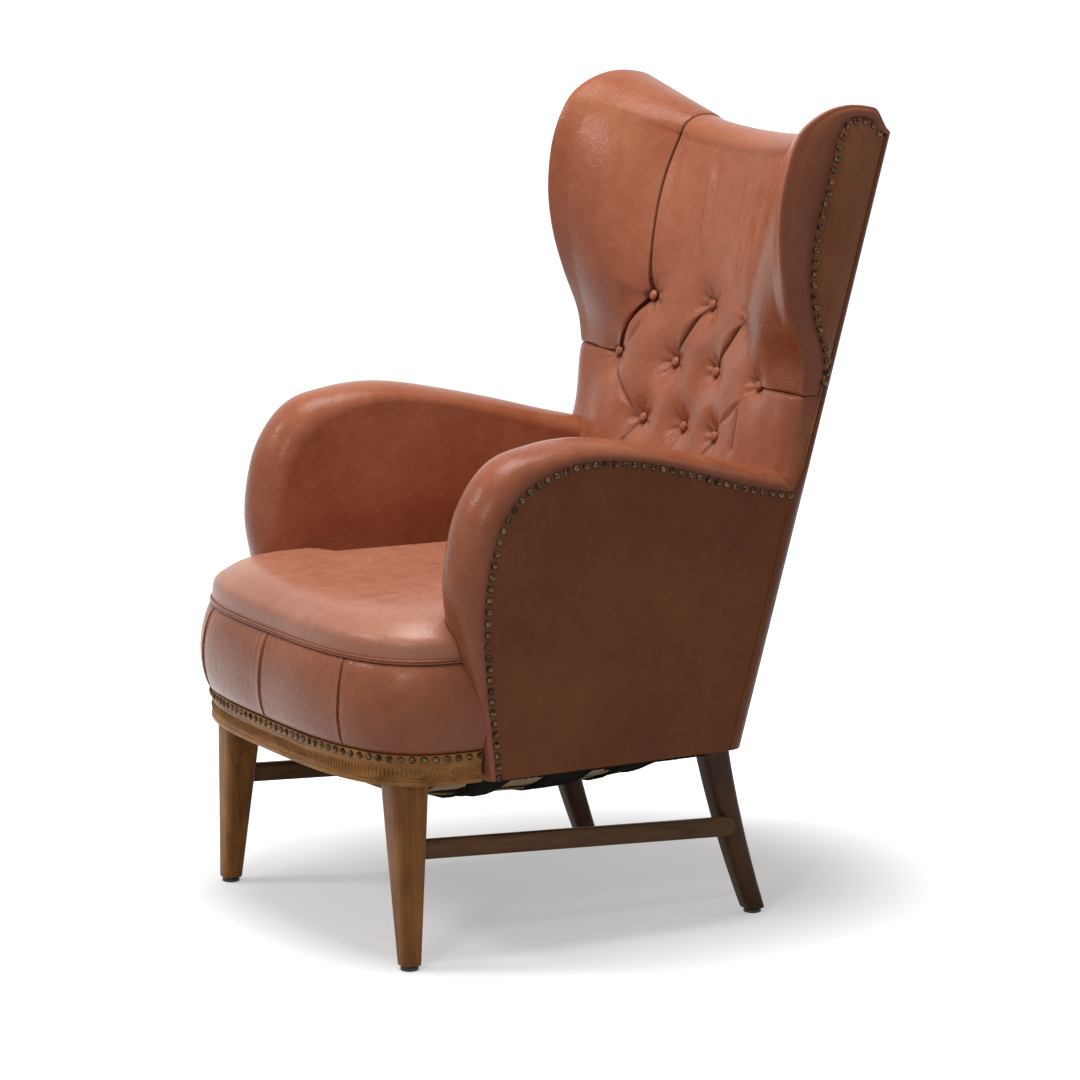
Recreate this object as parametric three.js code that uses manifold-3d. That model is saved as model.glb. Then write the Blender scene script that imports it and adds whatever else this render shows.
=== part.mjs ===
// Wingback armchair: bow-fronted show-wood seat, flared rolled arms, tufted back and winged ears.
// Millimetres, +Z up. The chair faces -Y and +X is the left-hand side of a person sitting in it.
import * as THREE from 'three';
import { mergeVertices } from 'three/addons/utils/BufferGeometryUtils.js';
import Module from 'manifold-3d';

const wasm = await Module();
wasm.setup();

// Driving dimensions: clearances
const contactGap = 0.3;
const clothGap = 0.6;

// Driving dimensions: seat base and apron
const seatBaseZ = 242;
const apronHeight = 41;
const apronThickness = 24;
const bowInset = 4;
const bowDepth = 158;
const bowBackY = -250;
const bowPower = 3.2;
const railWidth = 26;
const blockReach = 46;

// Driving dimensions: seat band, platform and cushion
const bandHeight = 120;
const bandBulge = 15;
const bandSeamInset = 4;
const bandThickness = 26;
const pleatDepth = 3.5;
const pleatCount = 6;
const platformRearY = 112;
const seatRearY = 150;
const cushionEdge = 8;
const cushionRise = 50;
const weltRadius = 3.5;

// Driving dimensions: body sides and rake of the back
const bodyHalfWidth = 300;
const rearHalfWidth = 292;
const armFlare = 35;
const rearCornerY = 137;
const backRakeDegrees = 15.46;
const rearBulgeLow = 12;
const rearBulgeHigh = 35;
const panelThickness = 4;

// Driving dimensions: arms
const armFrontY = -261;
const armRearDepth = 21;
const armNailRise = 404;
const armWidthFront = 55;
const armWidthRear = 67;
const armRollHeight = 42;
const armPadding = 14;
const armStripY = -229;
const armReachOut = 60;

// Driving dimensions: back and ears
const waistZ = 702;
const crestZ = 1031;
const wingTopZ = 1080;
const wingOverhang = 3;
const wingReach = 156;
const wingPadding = 22;
const waistPadding = 14;
const crestRoll = 28;
const rollPadding = 14;
const backPadBottomZ = 350;
const padCentreDepth = 34;
const padShoulderDepth = 50;
const padEdgeDepth = 37;
const nailEdgeDepth = 12;
const seamShoulderX = 185;
const seamTuckX = 125;
const seamTopX = 139;
const seamTuckZ = 787;
const wingBump = 7;

// Driving dimensions: buttons and tufts
const buttonRadius = 7.5;
const buttonThickness = 5;
const buttonSink = 0.6;
const seatReach = 40;
const tuftDepth = 15;
const tuftSpread = 24;
const foldDepth = 6;
const foldSpread = 9;
const rowTopZ = 785;
const rowMiddleZ = 702;
const rowLowX = 94;
const rowLowZ = 622;
const rowMiddleX = 54;

// Driving dimensions: hidden frame of the arms and back
const postWidth = 25;
const postInset = 49;
const postDepth = 15;
const railDepth = 20;
const lowerRailZ = 296;
const lowerRailHeight = 44;
const crestRailZ = 940;
const crestRailHeight = 45;
const rearPostTopZ = 1000;
const armPostFrontY = -215;
const armPostDepth = 35;
const armRailFrontDrop = 76;
const armRailRearDrop = 101;
const armRailHeight = 30;
const boardThickness = 12;

// Driving dimensions: legs, stretchers and glides
const frontLegInset = 59;
const frontFootInset = 36;
const frontLegY = -333;
const frontFootY = -339;
const frontLegTopWidth = 53;
const frontLegFootWidth = 26;
const rearLegInset = 68;
const rearFootInset = 68;
const rearFootY = 198;
const rearLegTopWidth = 40;
const rearLegFootWidth = 28;
const rearFootSlope = 0.37;
const rearTopSlope = 0.206;
const legRoundPower = 4;
const glideRadius = 12;
const glideHeight = 6;
const stretcherHeight = 26;
const stretcherWidth = 14;
const stretcherFrontZ = 152;
const stretcherRearZ = 128;
const stretcherFrontInset = 50;
const stretcherRearInset = 43.5;
const stretcherTipY = 151;
const stretcherChamfer = 3;

// Driving dimensions: nail trim and webbing
const nailWidth = 9;
const nailProud = 2;
const armTrimInset = 4;
const wingTrimInset = 4;
const apronTrimDrop = 1;
const webWidth = 50;
const webThickness = 2;
const webSag = 16;
const webFrontY = -372;
const webRearY = 118;
const webHalfX = 262;

// Widths and heights that follow the body
const bowHalfWidth = bodyHalfWidth - bowInset;
const armInnerHalfFront = bodyHalfWidth - armWidthFront;
const armInnerHalfRear = rearHalfWidth - armWidthRear;
const wingHalfWidth = rearHalfWidth + wingOverhang;
const postInnerX = rearHalfWidth - postInset;
const armRailFrontZ = seatBaseZ + armNailRise - armRailFrontDrop;
const armRailRearZ = seatBaseZ + armNailRise - armRailRearDrop;
const frontLegX = bodyHalfWidth - frontLegInset;
const frontFootX = bodyHalfWidth - frontFootInset;
const rearLegX = rearHalfWidth - rearLegInset;
const rearFootX = rearHalfWidth - rearFootInset;
const stretcherFrontX = bodyHalfWidth - stretcherFrontInset;
const stretcherRearX = rearHalfWidth - stretcherRearInset;

const lerp = THREE.MathUtils.lerp;
const clampShare = (t) => THREE.MathUtils.clamp(t, 0, 1);
const rakeSlope = Math.tan(THREE.MathUtils.degToRad(backRakeDegrees));
const point = (x, y, z) => new THREE.Vector3(x, y, z);

// A closed solid from points and triangles, with touching points merged and faces pointing out
function closedSolid(points, faces) {
  const raw = new THREE.BufferGeometry();
  raw.setAttribute('position', new THREE.Float32BufferAttribute(points.flatMap((p) => [p.x, p.y, p.z]), 3));
  raw.setIndex(faces.flat());
  const merged = mergeVertices(raw);
  const index = merged.getIndex().array;
  const kept = [];
  for (let i = 0; i < index.length; i += 3) {
    const [a, b, c] = [index[i], index[i + 1], index[i + 2]];
    if (a !== b && b !== c && c !== a) kept.push([a, b, c]);
  }
  const place = merged.getAttribute('position');
  const corners = [point(0, 0, 0), point(0, 0, 0), point(0, 0, 0)];
  let volume = 0;
  for (const face of kept) {
    corners.forEach((corner, k) => corner.fromBufferAttribute(place, face[k]));
    volume += corners[0].dot(corners[1].clone().cross(corners[2]));
  }
  merged.setIndex(kept.flatMap(([a, b, c]) => (volume > 0 ? [a, b, c] : [a, c, b])));
  return merged;
}

// A thick sheet between two grids of points that share their number of rows and columns
function slab(front, back) {
  const rows = front.length;
  const columns = front[0].length;
  const points = [...front.flat(), ...back.flat()];
  const f = (j, i) => j * columns + i;
  const b = (j, i) => rows * columns + j * columns + i;
  const faces = [];
  const quad = (p, q, r, s) => faces.push([p, q, r], [p, r, s]);
  const last = rows - 1;
  const edge = columns - 1;
  for (let j = 0; j < last; j += 1) {
    for (let i = 0; i < edge; i += 1) {
      quad(f(j, i), f(j, i + 1), f(j + 1, i + 1), f(j + 1, i));
      quad(b(j, i), b(j + 1, i), b(j + 1, i + 1), b(j, i + 1));
    }
    quad(f(j, 0), f(j + 1, 0), b(j + 1, 0), b(j, 0));
    quad(f(j, edge), b(j, edge), b(j + 1, edge), f(j + 1, edge));
  }
  for (let i = 0; i < edge; i += 1) {
    quad(f(0, i), b(0, i), b(0, i + 1), f(0, i + 1));
    quad(f(last, i), f(last, i + 1), b(last, i + 1), b(last, i));
  }
  return closedSolid(points, faces);
}

// A skin through rings of points, closed at both ends around each ring's middle
function loft(rings) {
  const count = rings[0].length;
  const points = rings.flat();
  const faces = [];
  for (let k = 0; k < rings.length - 1; k += 1) {
    for (let m = 0; m < count; m += 1) {
      const n = (m + 1) % count;
      const low = k * count;
      const high = low + count;
      faces.push([low + m, low + n, high + n], [low + m, high + n, high + m]);
    }
  }
  for (const [ring, flip] of [[0, true], [rings.length - 1, false]]) {
    const middle = rings[ring].reduce((sum, p) => sum.add(p), point(0, 0, 0)).divideScalar(count);
    const hub = points.push(middle) - 1;
    for (let m = 0; m < count; m += 1) {
      const [p, q] = [ring * count + m, ring * count + ((m + 1) % count)];
      faces.push(flip ? [hub, q, p] : [hub, p, q]);
    }
  }
  return closedSolid(points, faces);
}

const toSolid = (geometry) => new wasm.Manifold(new wasm.Mesh({
  numProp: 3,
  vertProperties: Float32Array.from(geometry.getAttribute('position').array),
  triVerts: Uint32Array.from(geometry.getIndex().array),
}));

function fromSolid(solid) {
  const mesh = solid.getMesh();
  const geometry = new THREE.BufferGeometry();
  geometry.setAttribute('position', new THREE.Float32BufferAttribute(mesh.vertProperties, 3));
  geometry.setIndex(Array.from(mesh.triVerts));
  return geometry;
}

const cut = (geometry, cutters) => fromSolid(
  cutters.reduce((solid, cutter) => solid.subtract(toSolid(cutter)), toSolid(geometry)),
);

// A prism over a plan outline
function prism(outline, lowZ, highZ) {
  const geometry = new THREE.ExtrudeGeometry(new THREE.Shape(outline.map(([x, y]) => new THREE.Vector2(x, y))), {
    depth: highZ - lowZ,
    bevelEnabled: false,
  });
  geometry.deleteAttribute('normal');
  geometry.deleteAttribute('uv');
  geometry.translate(0, 0, lowZ);
  return mergeVertices(geometry);
}

const steps = (count) => Array.from({ length: count + 1 }, (unused, i) => i / count);
const grid = (rowValues, columnValues, at) => rowValues.map((v) => columnValues.map((u) => at(u, v)));

const group = new THREE.Group();
function add(name, geometry, [colour, roughness, metalness]) {
  const material = new THREE.MeshStandardMaterial({ color: colour, roughness, metalness });
  const mesh = new THREE.Mesh(geometry, material);
  mesh.name = name;
  group.add(mesh);
}
const sides = [['left', 1], ['right', -1]];

// Finishes
const tanLeather = [0x935843, 0.42, 0];
const brownLeather = [0x5e3a26, 0.5, 0];
const honeyWood = [0x84552c, 0.4, 0];
const darkWood = [0x3f2a19, 0.4, 0];
const frameWood = [0xb58a5c, 0.7, 0];
const agedBrass = [0x6b4f2c, 0.4, 1];
const blackMetal = [0x1b1a19, 0.45, 0.8];
const jute = [0xbfa882, 0.95, 0];
const paleCloth = [0xcdbfa3, 0.95, 0];

// The raked rear corner line, the bowed rear face and the outline of the crest
const rearLineY = (z) => rearCornerY + rakeSlope * (z - seatBaseZ);
const rearBulge = (z) => lerp(rearBulgeLow, rearBulgeHigh, clampShare((z - seatBaseZ) / (crestZ - seatBaseZ)));
const rearFaceY = (x, z) => rearLineY(z) + rearBulge(z) * (1 - (x / rearHalfWidth) ** 2);
const crestTop = (x) => lerp(
  crestZ,
  wingTopZ,
  clampShare((Math.abs(x) - seamTopX) / (wingHalfWidth - seamTopX)),
);
const apronTopZ = seatBaseZ + apronHeight;
const seamZ = apronTopZ + bandHeight;

// The outer face of the body leans out towards the top of the arms and in towards the back
function sideX(y, z) {
  const back = clampShare((y - armFrontY) / (rearLineY(z) - armFrontY));
  const lean = Math.sin((Math.PI / 2) * clampShare((z - seatBaseZ) / armNailRise));
  return lerp(bodyHalfWidth + armFlare * lean, rearHalfWidth, back);
}
function armInnerX(y) {
  return lerp(armInnerHalfFront, armInnerHalfRear, clampShare((y - armFrontY) / (rearCornerY - armFrontY)));
}

// The bow front is half of a squared ellipse, grown outward by a given amount
function bowPoint(angle, grow) {
  const squared = (value) => Math.sign(value) * Math.abs(value) ** (2 / bowPower);
  return [
    (bowHalfWidth + grow) * squared(Math.cos(angle)),
    bowBackY - (bowDepth + grow) * squared(Math.sin(angle)),
  ];
}
const halfTurn = (share) => Math.PI * share;

// Arm outline: nail line from the front foot over the top to the back, as shares of the arm's
// length and rise, and the height of the roll beyond it as shares of the full roll
const armNailShares = [
  [0.064, 0], [0.045, 0.139], [0.019, 0.304], [0.002, 0.473], [0, 0.601],
  [0.013, 0.713], [0.049, 0.837], [0.115, 0.928], [0.199, 0.975], [0.297, 1],
  [0.395, 0.998], [0.528, 0.975], [0.694, 0.923], [0.863, 0.864], [1, 0.829],
];
const armRollShares = [0.24, 0.31, 0.43, 0.6, 0.81, 0.9, 0.98, 1, 0.79, 0.64, 0.57, 0.5, 0.55, 0.52, 0.4];
const armRearShare = armNailShares[armNailShares.length - 1][1];
const armRearZ = seatBaseZ + armRearShare * armNailRise;
const armRearY = rearLineY(armRearZ) - armRearDepth;
const armLength = armRearY - armFrontY;
const armCurve = new THREE.CatmullRomCurve3(armNailShares.map(([along, up]) => point(
  0,
  armFrontY + along * armLength,
  seatBaseZ + up * armNailRise,
)));
function shareAt(shares, t) {
  const place = clampShare(t) * (shares.length - 1);
  const low = Math.min(Math.floor(place), shares.length - 2);
  return lerp(shares[low], shares[low + 1], place - low);
}
function armStation(t) {
  const nail = armCurve.getPoint(t);
  const along = armCurve.getTangent(t);
  const out = point(0, -along.z, along.y);
  return { nail, out, roll: armRollHeight * shareAt(armRollShares, t) };
}
const armStripShare = 0.12;
function armHub(t) {
  const rearY = rearLineY(apronTopZ) - armRearDepth;
  const back = clampShare((t - armStripShare) / (1 - armStripShare));
  return point(0, lerp(armStripY, rearY, back), lerp(seatBaseZ, apronTopZ + clothGap, clampShare(t / armStripShare)));
}

// A point of the arm cover: up the inner face from the hub, then round the roll to the nail line
const armFaceShare = 0.45;
function armPoint(u, t, shrink, rollFactor) {
  const { nail, out, roll } = armStation(t);
  if (u <= armFaceShare) {
    const place = armHub(t).lerp(nail, u / armFaceShare);
    place.x = armInnerX(place.y) + shrink;
    return place;
  }
  const turn = Math.PI * ((u - armFaceShare) / (1 - armFaceShare));
  const outerX = sideX(nail.y, nail.z) - shrink;
  const innerX = armInnerX(nail.y) + shrink;
  const place = nail.clone().addScaledVector(out, roll * rollFactor * Math.sin(turn));
  place.x = lerp(innerX, outerX, (1 - Math.cos(turn)) / 2);
  return place;
}
const armSteps = 26;
const armColumns = [0, 0.25, 0.45, 0.54, 0.63, 0.725, 0.82, 0.91, 1];
const armRollFactor = 0.3;
function armPad(side) {
  const mirror = (place) => point(side * place.x, place.y, place.z);
  return slab(
    grid(steps(armSteps), armColumns, (u, t) => mirror(armPoint(u, t, 0, 1))),
    grid(steps(armSteps), armColumns, (u, t) => mirror(armPoint(u, t, armPadding, armRollFactor))),
  );
}

// The space that an arm takes, filled out past the side, used to cut what meets the arm
const armCrestColumns = armColumns.filter((u) => u <= (1 + armFaceShare) / 2);
function armSpace(side) {
  const grown = (u, t) => {
    const place = armPoint(u, t, -clothGap, 1);
    const { out } = armStation(t);
    const lift = u > armFaceShare ? clothGap : 0;
    return place.addScaledVector(out, lift);
  };
  const rows = grid(steps(armSteps), armCrestColumns, grown);
  const last = rows[rows.length - 1];
  rows.push(last.map((place) => point(place.x, place.y + 2 * armRearDepth, place.z)));
  const outerX = bodyHalfWidth + armFlare + armReachOut;
  return slab(
    rows.map((row) => row.map((place) => point(side * place.x, place.y, place.z))),
    rows.map((row) => row.map((place) => point(side * outerX, place.y, place.z))),
  );
}
const armSpaces = sides.map(([, side]) => armSpace(side));
for (const [name, side] of sides) add(`arm_pad_${name}`, armPad(side), tanLeather);

// Outer side panel inside the arm's nail line, down to the seat base and back to the rear corner
const armTopStep = 17;
function sidePanel(side) {
  const front = steps(armSteps).slice(0, armTopStep + 1).map((t) => armStation(t));
  const behind = steps(armSteps).slice(armTopStep).reverse().map((t) => armStation(t));
  const rearCount = armTopStep + 1 - behind.length;
  const inward = ({ nail, out }) => nail.clone().addScaledVector(out, -contactGap);
  const rear = steps(rearCount - 1).map((t) => {
    const z = lerp(seatBaseZ, armRearZ, t);
    return point(0, rearLineY(z) - panelThickness - clothGap, z);
  });
  const rearPath = [...rear, ...behind.map(inward)];
  const rows = front.map((station, k) => [inward(station), rearPath[k]]);
  const at = ([from, to], u, inset) => {
    const place = from.clone().lerp(to, u);
    return point(side * (sideX(place.y, place.z) - inset), place.y, place.z);
  };
  const columns = steps(6);
  return slab(
    rows.map((row) => columns.map((u) => at(row, u, 0))),
    rows.map((row) => columns.map((u) => at(row, u, panelThickness))),
  );
}
for (const [name, side] of sides) add(`side_panel_${name}`, sidePanel(side), brownLeather);

// Trim of dome-headed nails, modelled as a low strip along the edge that it follows
function trimStrip(stations, side) {
  const rows = stations.map(({ at, across }) => (
    [-1, 1].map((way) => at.clone().addScaledVector(across, way * nailWidth / 2))));
  const place = (p, lift) => point(side * (p.x + clothGap + lift), p.y, p.z);
  return slab(
    rows.map((row) => row.map((p) => place(p, nailProud))),
    rows.map((row) => row.map((p) => place(p, 0))),
  );
}
const armTrim = steps(armSteps).map((t) => {
  const { nail, out } = armStation(t);
  const at = nail.clone().addScaledVector(out, -armTrimInset);
  at.x = sideX(at.y, at.z);
  return { at, across: out };
});
for (const [name, side] of sides) add(`arm_nails_${name}`, trimStrip(armTrim, side), agedBrass);

// Seam between the centre of the back and the ears: half-width at a height
function seamX(z) {
  if (z <= seamTuckZ) {
    return lerp(seamShoulderX, seamTuckX, clampShare((z - waistZ) / (seamTuckZ - waistZ)));
  }
  return lerp(seamTuckX, seamTopX, clampShare((z - seamTuckZ) / (crestZ - seamTuckZ)));
}

// Ear outlines as shares of the rise above the waist and of the forward reach from the rear
// corner line: the rim crest, the nail line on the outside and the seam to the centre panel
const wingRise = wingTopZ - waistZ;
const wingRimShares = [
  [0, 0.237, 0.98], [0.13, 0.42, 1.003], [0.276, 0.61, 1.017], [0.395, 0.756, 1.027], [0.526, 0.888, 1.034],
  [0.632, 0.96, 1.034], [0.75, 1, 1.034], [0.842, 0.98, 1.027], [0.916, 0.9, 1.017], [0.974, 0.65, 1.007],
  [1, 0.46, 1], [0.985, 0.25, 0.997], [0.955, 0.1, 0.993],
];
const wingNailShares = [
  [0, nailEdgeDepth / wingReach, 0.99], [0.12, 0.13, 1.01], [0.26, 0.33, 1.02], [0.37, 0.455, 1.03],
  [0.48, 0.525, 1.034], [0.58, 0.558, 1.036], [0.7, 0.558, 1.036], [0.8, 0.55, 1.03], [0.88, 0.55, 1.025], [0.94, 0.5, 1.02],
  [0.958, 0.38, 1.015], [0.95, 0.22, 1.01], [0.91, 0.07, 1],
];
const seamDepthShares = [0.32, 0.33, 0.345, 0.35, 0.365, 0.38, 0.39, 0.375, 0.33];
const tuckRows = 3;
const tuckSeamShares = [0, 0.33, 0.67];
const upperSeamShares = [0, 0.2, 0.4, 0.6, 0.8, 1];
const seamHeights = [
  ...tuckSeamShares.map((share) => lerp(waistZ, seamTuckZ, share)),
  ...upperSeamShares.map((share) => lerp(seamTuckZ, crestZ - crestRoll, share)),
];
const wingPoint = ([up, forward, wide]) => {
  const z = waistZ + up * wingRise;
  return point(wide * wingHalfWidth, rearLineY(z) - forward * wingReach, z);
};
const wingCurve = (shares) => new THREE.CatmullRomCurve3(shares.map(wingPoint));
const wingRim = wingCurve(wingRimShares);
const wingNails = wingCurve(wingNailShares);

// How far the padded front face stands before the rear corner line
function seamDepth(z) {
  let k = 0;
  while (k < seamHeights.length - 2 && seamHeights[k + 1] < z) k += 1;
  const between = clampShare((z - seamHeights[k]) / (seamHeights[k + 1] - seamHeights[k]));
  return wingReach * lerp(seamDepthShares[k], seamDepthShares[k + 1], between);
}
function faceDepth(x, z) {
  const across = Math.abs(x);
  if (z > waistZ) {
    return lerp(padCentreDepth, seamDepth(z), (across / seamX(z)) ** 2);
  }
  if (across <= seamShoulderX) {
    return lerp(padCentreDepth, padShoulderDepth, Math.sin((Math.PI / 2) * (across / seamShoulderX)) ** 2);
  }
  return lerp(padShoulderDepth, padEdgeDepth, (across - seamShoulderX) / (rearHalfWidth - seamShoulderX));
}
const faceY = (x, z) => rearLineY(z) - faceDepth(x, z);

// Tufting: buttons pull the face in and folds run between them
const buttonPlaces = {
  top_left: [seamTuckX, rowTopZ],
  top_middle: [0, rowTopZ],
  top_right: [-seamTuckX, rowTopZ],
  middle_left: [seamShoulderX, rowMiddleZ],
  middle_inner_left: [rowMiddleX, rowMiddleZ],
  middle_inner_right: [-rowMiddleX, rowMiddleZ],
  middle_right: [-seamShoulderX, rowMiddleZ],
  low_left: [rowLowX, rowLowZ],
  low_middle: [0, rowLowZ],
  low_right: [-rowLowX, rowLowZ],
};
const folds = [
  ['top_left', 'middle_inner_left'], ['top_middle', 'middle_inner_right'], ['top_right', 'middle_right'],
  ['middle_right', 'low_right'], ['middle_left', 'low_left'],
];
function foldPull(x, z) {
  let pull = 0;
  for (const [from, to] of folds) {
    const a = new THREE.Vector2(...buttonPlaces[from]);
    const b = new THREE.Vector2(...buttonPlaces[to]).sub(a);
    const offset = new THREE.Vector2(x, z).sub(a);
    const share = clampShare(offset.dot(b) / b.lengthSq());
    const away = offset.sub(b.multiplyScalar(share)).length();
    pull = Math.max(pull, foldDepth * Math.exp(-((away / foldSpread) ** 2)));
  }
  return pull;
}
function buttonPull(x, z) {
  const pulls = Object.values(buttonPlaces).map(([bx, bz]) => (
    tuftDepth * Math.exp(-((x - bx) ** 2 + (z - bz) ** 2) / tuftSpread ** 2)));
  return Math.max(...pulls);
}
const tuftPull = (x, z) => Math.max(buttonPull(x, z), foldPull(x, z));

// Seats for the buttons, cut from every pad that a button touches
const buttonSides = 10;
const buttonCrownShare = 0.8;
const buttonShoulderShare = 0.7;
function buttonDisc(place, radius, from, to) {
  const [x, z] = place;
  const back = faceY(x, z) + tuftDepth;
  const profile = [
    new THREE.Vector2(0, from),
    new THREE.Vector2(radius, from),
    new THREE.Vector2(radius * buttonCrownShare, lerp(from, to, buttonShoulderShare)),
    new THREE.Vector2(0, to),
  ];
  const disc = new THREE.LatheGeometry(profile, buttonSides);
  disc.deleteAttribute('normal');
  disc.deleteAttribute('uv');
  disc.rotateX(Math.PI - Math.atan(rakeSlope));
  disc.translate(x, back, z);
  const position = disc.getAttribute('position');
  const pointAt = (unused, i) => point(0, 0, 0).fromBufferAttribute(position, i);
  const points = Array.from({ length: position.count }, pointAt);
  const index = disc.getIndex().array;
  const faceAt = (unused, i) => [index[3 * i], index[3 * i + 1], index[3 * i + 2]];
  const faces = Array.from({ length: index.length / 3 }, faceAt);
  return closedSolid(points, faces);
}
const buttonSeatRadius = buttonRadius + clothGap;
function buttonSeat(place) {
  const [x, z] = place;
  const back = faceY(x, z) + tuftDepth;
  const seat = new THREE.CylinderGeometry(buttonSeatRadius, buttonSeatRadius, seatReach, buttonSides);
  seat.deleteAttribute('normal');
  seat.deleteAttribute('uv');
  seat.translate(0, -seatReach / 2 - buttonSink + contactGap, 0);
  seat.rotateX(-Math.atan(rakeSlope));
  seat.translate(x, back, z);
  return mergeVertices(seat);
}
const buttonSeats = Object.values(buttonPlaces).map(buttonSeat);
for (const [name, place] of Object.entries(buttonPlaces)) {
  add(`button_${name}`, buttonDisc(place, buttonRadius, buttonSink, buttonSink + buttonThickness), tanLeather);
}

// Centre pad of the back: full width below the waist, between the ear seams above it
const edgeTuckX = rearHalfWidth - armPadding;
const postClearX = postInnerX - postWidth / 2;
const backHalfXs = [
  0, rowMiddleX / 2, rowMiddleX, rowLowX, (rowLowX + seamShoulderX) / 2,
  seamShoulderX, postClearX, edgeTuckX, rearHalfWidth,
];
const backRowShares = [0, 0.35, 0.6, 0.71, 0.775, 0.84, 0.92, 1];
const tuckRowShares = [0.2, 0.45, 0.7, 1];
const upperRowShares = [0.12, 0.35, 0.7, 1];
const upperHeights = [
  waistZ + contactGap,
  ...tuckRowShares.map((share) => lerp(waistZ, seamTuckZ, share)),
  ...upperRowShares.map((share) => lerp(seamTuckZ, crestZ - crestRoll, share)),
];
const pullFadePower = 4;
const rollSteps = [0.25, 0.5, 0.75, 1];
const rollBaseZ = (x) => crestTop(x) - crestRoll;
const rollRearY = (x) => rearFaceY(x, rollBaseZ(x));
function rollPoint(x, turn, inset) {
  const from = faceY(x, rollBaseZ(x)) + inset;
  const to = rollRearY(x) - inset;
  return point(
    x,
    lerp(from, to, (1 - Math.cos(halfTurn(turn))) / 2),
    rollBaseZ(x) + (crestRoll - inset) * Math.sin(halfTurn(turn)),
  );
}
const padBackDepth = panelThickness + railDepth + 2 * clothGap;
const postFrontDepth = panelThickness + clothGap + postDepth;
function padBackY(x, z, overPost) {
  const depth = padBackDepth - (rearFaceY(x, z) - rearLineY(z));
  return rearLineY(z) - (overPost ? Math.max(depth, postFrontDepth + clothGap) : depth);
}
function backPad() {
  const mirrored = [...backHalfXs.slice(1).reverse().map((x) => -x), ...backHalfXs];
  const seamGap = contactGap;
  const isOverPost = (x) => Math.abs(x) >= postClearX;
  const front = [];
  const back = [];
  for (const share of backRowShares) {
    const z = lerp(backPadBottomZ, waistZ, share);
    const edgeY = rearLineY(z) - (share < 1 ? nailEdgeDepth : postFrontDepth + clothGap);
    const isEdge = (x) => Math.abs(x) === rearHalfWidth;
    front.push(mirrored.map((x) => point(x, isEdge(x) ? edgeY : faceY(x, z) + tuftPull(x, z), z)));
    back.push(mirrored.map((x) => point(
      isEdge(x) ? Math.sign(x) * (edgeTuckX + contactGap) : x,
      isEdge(x) ? edgeY : padBackY(x, z, isOverPost(x)),
      z,
    )));
  }
  for (const z of upperHeights) {
    const narrow = (seamX(z) - seamGap) / rearHalfWidth;
    const pullFade = 1 - clampShare((z - seamTuckZ) / (crestZ - crestRoll - seamTuckZ)) ** pullFadePower;
    front.push(mirrored.map((x) => point(
      x * narrow,
      faceY(x * narrow, z) + tuftPull(x * narrow, z) * pullFade,
      z,
    )));
    back.push(mirrored.map((x) => point(x * narrow, padBackY(x * narrow, z, isOverPost(x)), z)));
  }
  for (const turn of rollSteps) {
    const narrow = (seamTopX - seamGap) / rearHalfWidth;
    front.push(mirrored.map((x) => rollPoint(x * narrow, turn, 0)));
    back.push(mirrored.map((x) => rollPoint(x * narrow, turn, rollPadding)));
  }
  return cut(slab(front, back), [...armSpaces, ...buttonSeats]);
}
add('back_pad', backPad(), tanLeather);

// Rear outer panel, following the bow of the back up to the roll of the crest
const middlePanelShares = [0, 0.33, 0.67, 1];
const outerPanelShares = [0.2, 0.4, 0.6, 0.8, 1];
function rearPanel() {
  const half = middlePanelShares.map((share) => share * seamTopX);
  const outer = outerPanelShares.map((share) => lerp(seamTopX, rearHalfWidth, share));
  const columns = [...outer.map((x) => -x).reverse(), ...half.slice(1).map((x) => -x).reverse(), ...half, ...outer];
  const at = (x, v, inset) => {
    const z = lerp(seatBaseZ, rollBaseZ(x) - clothGap, v);
    return point(x, rearFaceY(x, z) - inset, z);
  };
  return slab(
    grid(steps(10), columns, (x, v) => at(x, v, 0)),
    grid(steps(10), columns, (x, v) => at(x, v, panelThickness)),
  );
}
add('rear_panel', rearPanel(), brownLeather);

// Ear pad: ruled from the seam to the rim, then rolled round the rim to the nail line
const wingRows = wingRimShares.length - 1;
const seamRows = seamHeights.length;
function wingSeamPoint(row) {
  if (row < seamRows) {
    const z = Math.max(waistZ + 2 * clothGap, seamHeights[row]);
    const x = seamX(z) + contactGap;
    return point(x, faceY(seamX(z), z), z);
  }
  const turn = (row - seamRows + 1) / (wingRows - seamRows + 1);
  const place = rollPoint(seamTopX, turn, 0);
  place.x += contactGap;
  return place;
}
const wingFaceShare = 0.6;
const wingShoulderShare = 0.8;
const rimHandleShare = 0.9;
function wingFrame(row) {
  const v = row / wingRows;
  const seam = wingSeamPoint(row);
  const rim = wingRim.getPoint(v);
  const nail = wingNails.getPoint(v);
  if (row === 0) {
    rim.z = seam.z;
    nail.z = seam.z;
  }
  const ruling = rim.clone().sub(seam);
  const normal = point(row < seamRows ? Math.max(0, -ruling.y) : 0, ruling.x, 0).normalize();
  const turn = halfTurn(clampShare((row - seamRows + 1) / (wingRows - seamRows + 1)));
  const inward = normal.multiplyScalar(Math.cos(turn)).addScaledVector(point(0, 0, -1), Math.sin(turn));
  return { seam, rim, nail, ruling, inward, shoulder: seam.clone().addScaledVector(ruling, wingShoulderShare) };
}
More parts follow.
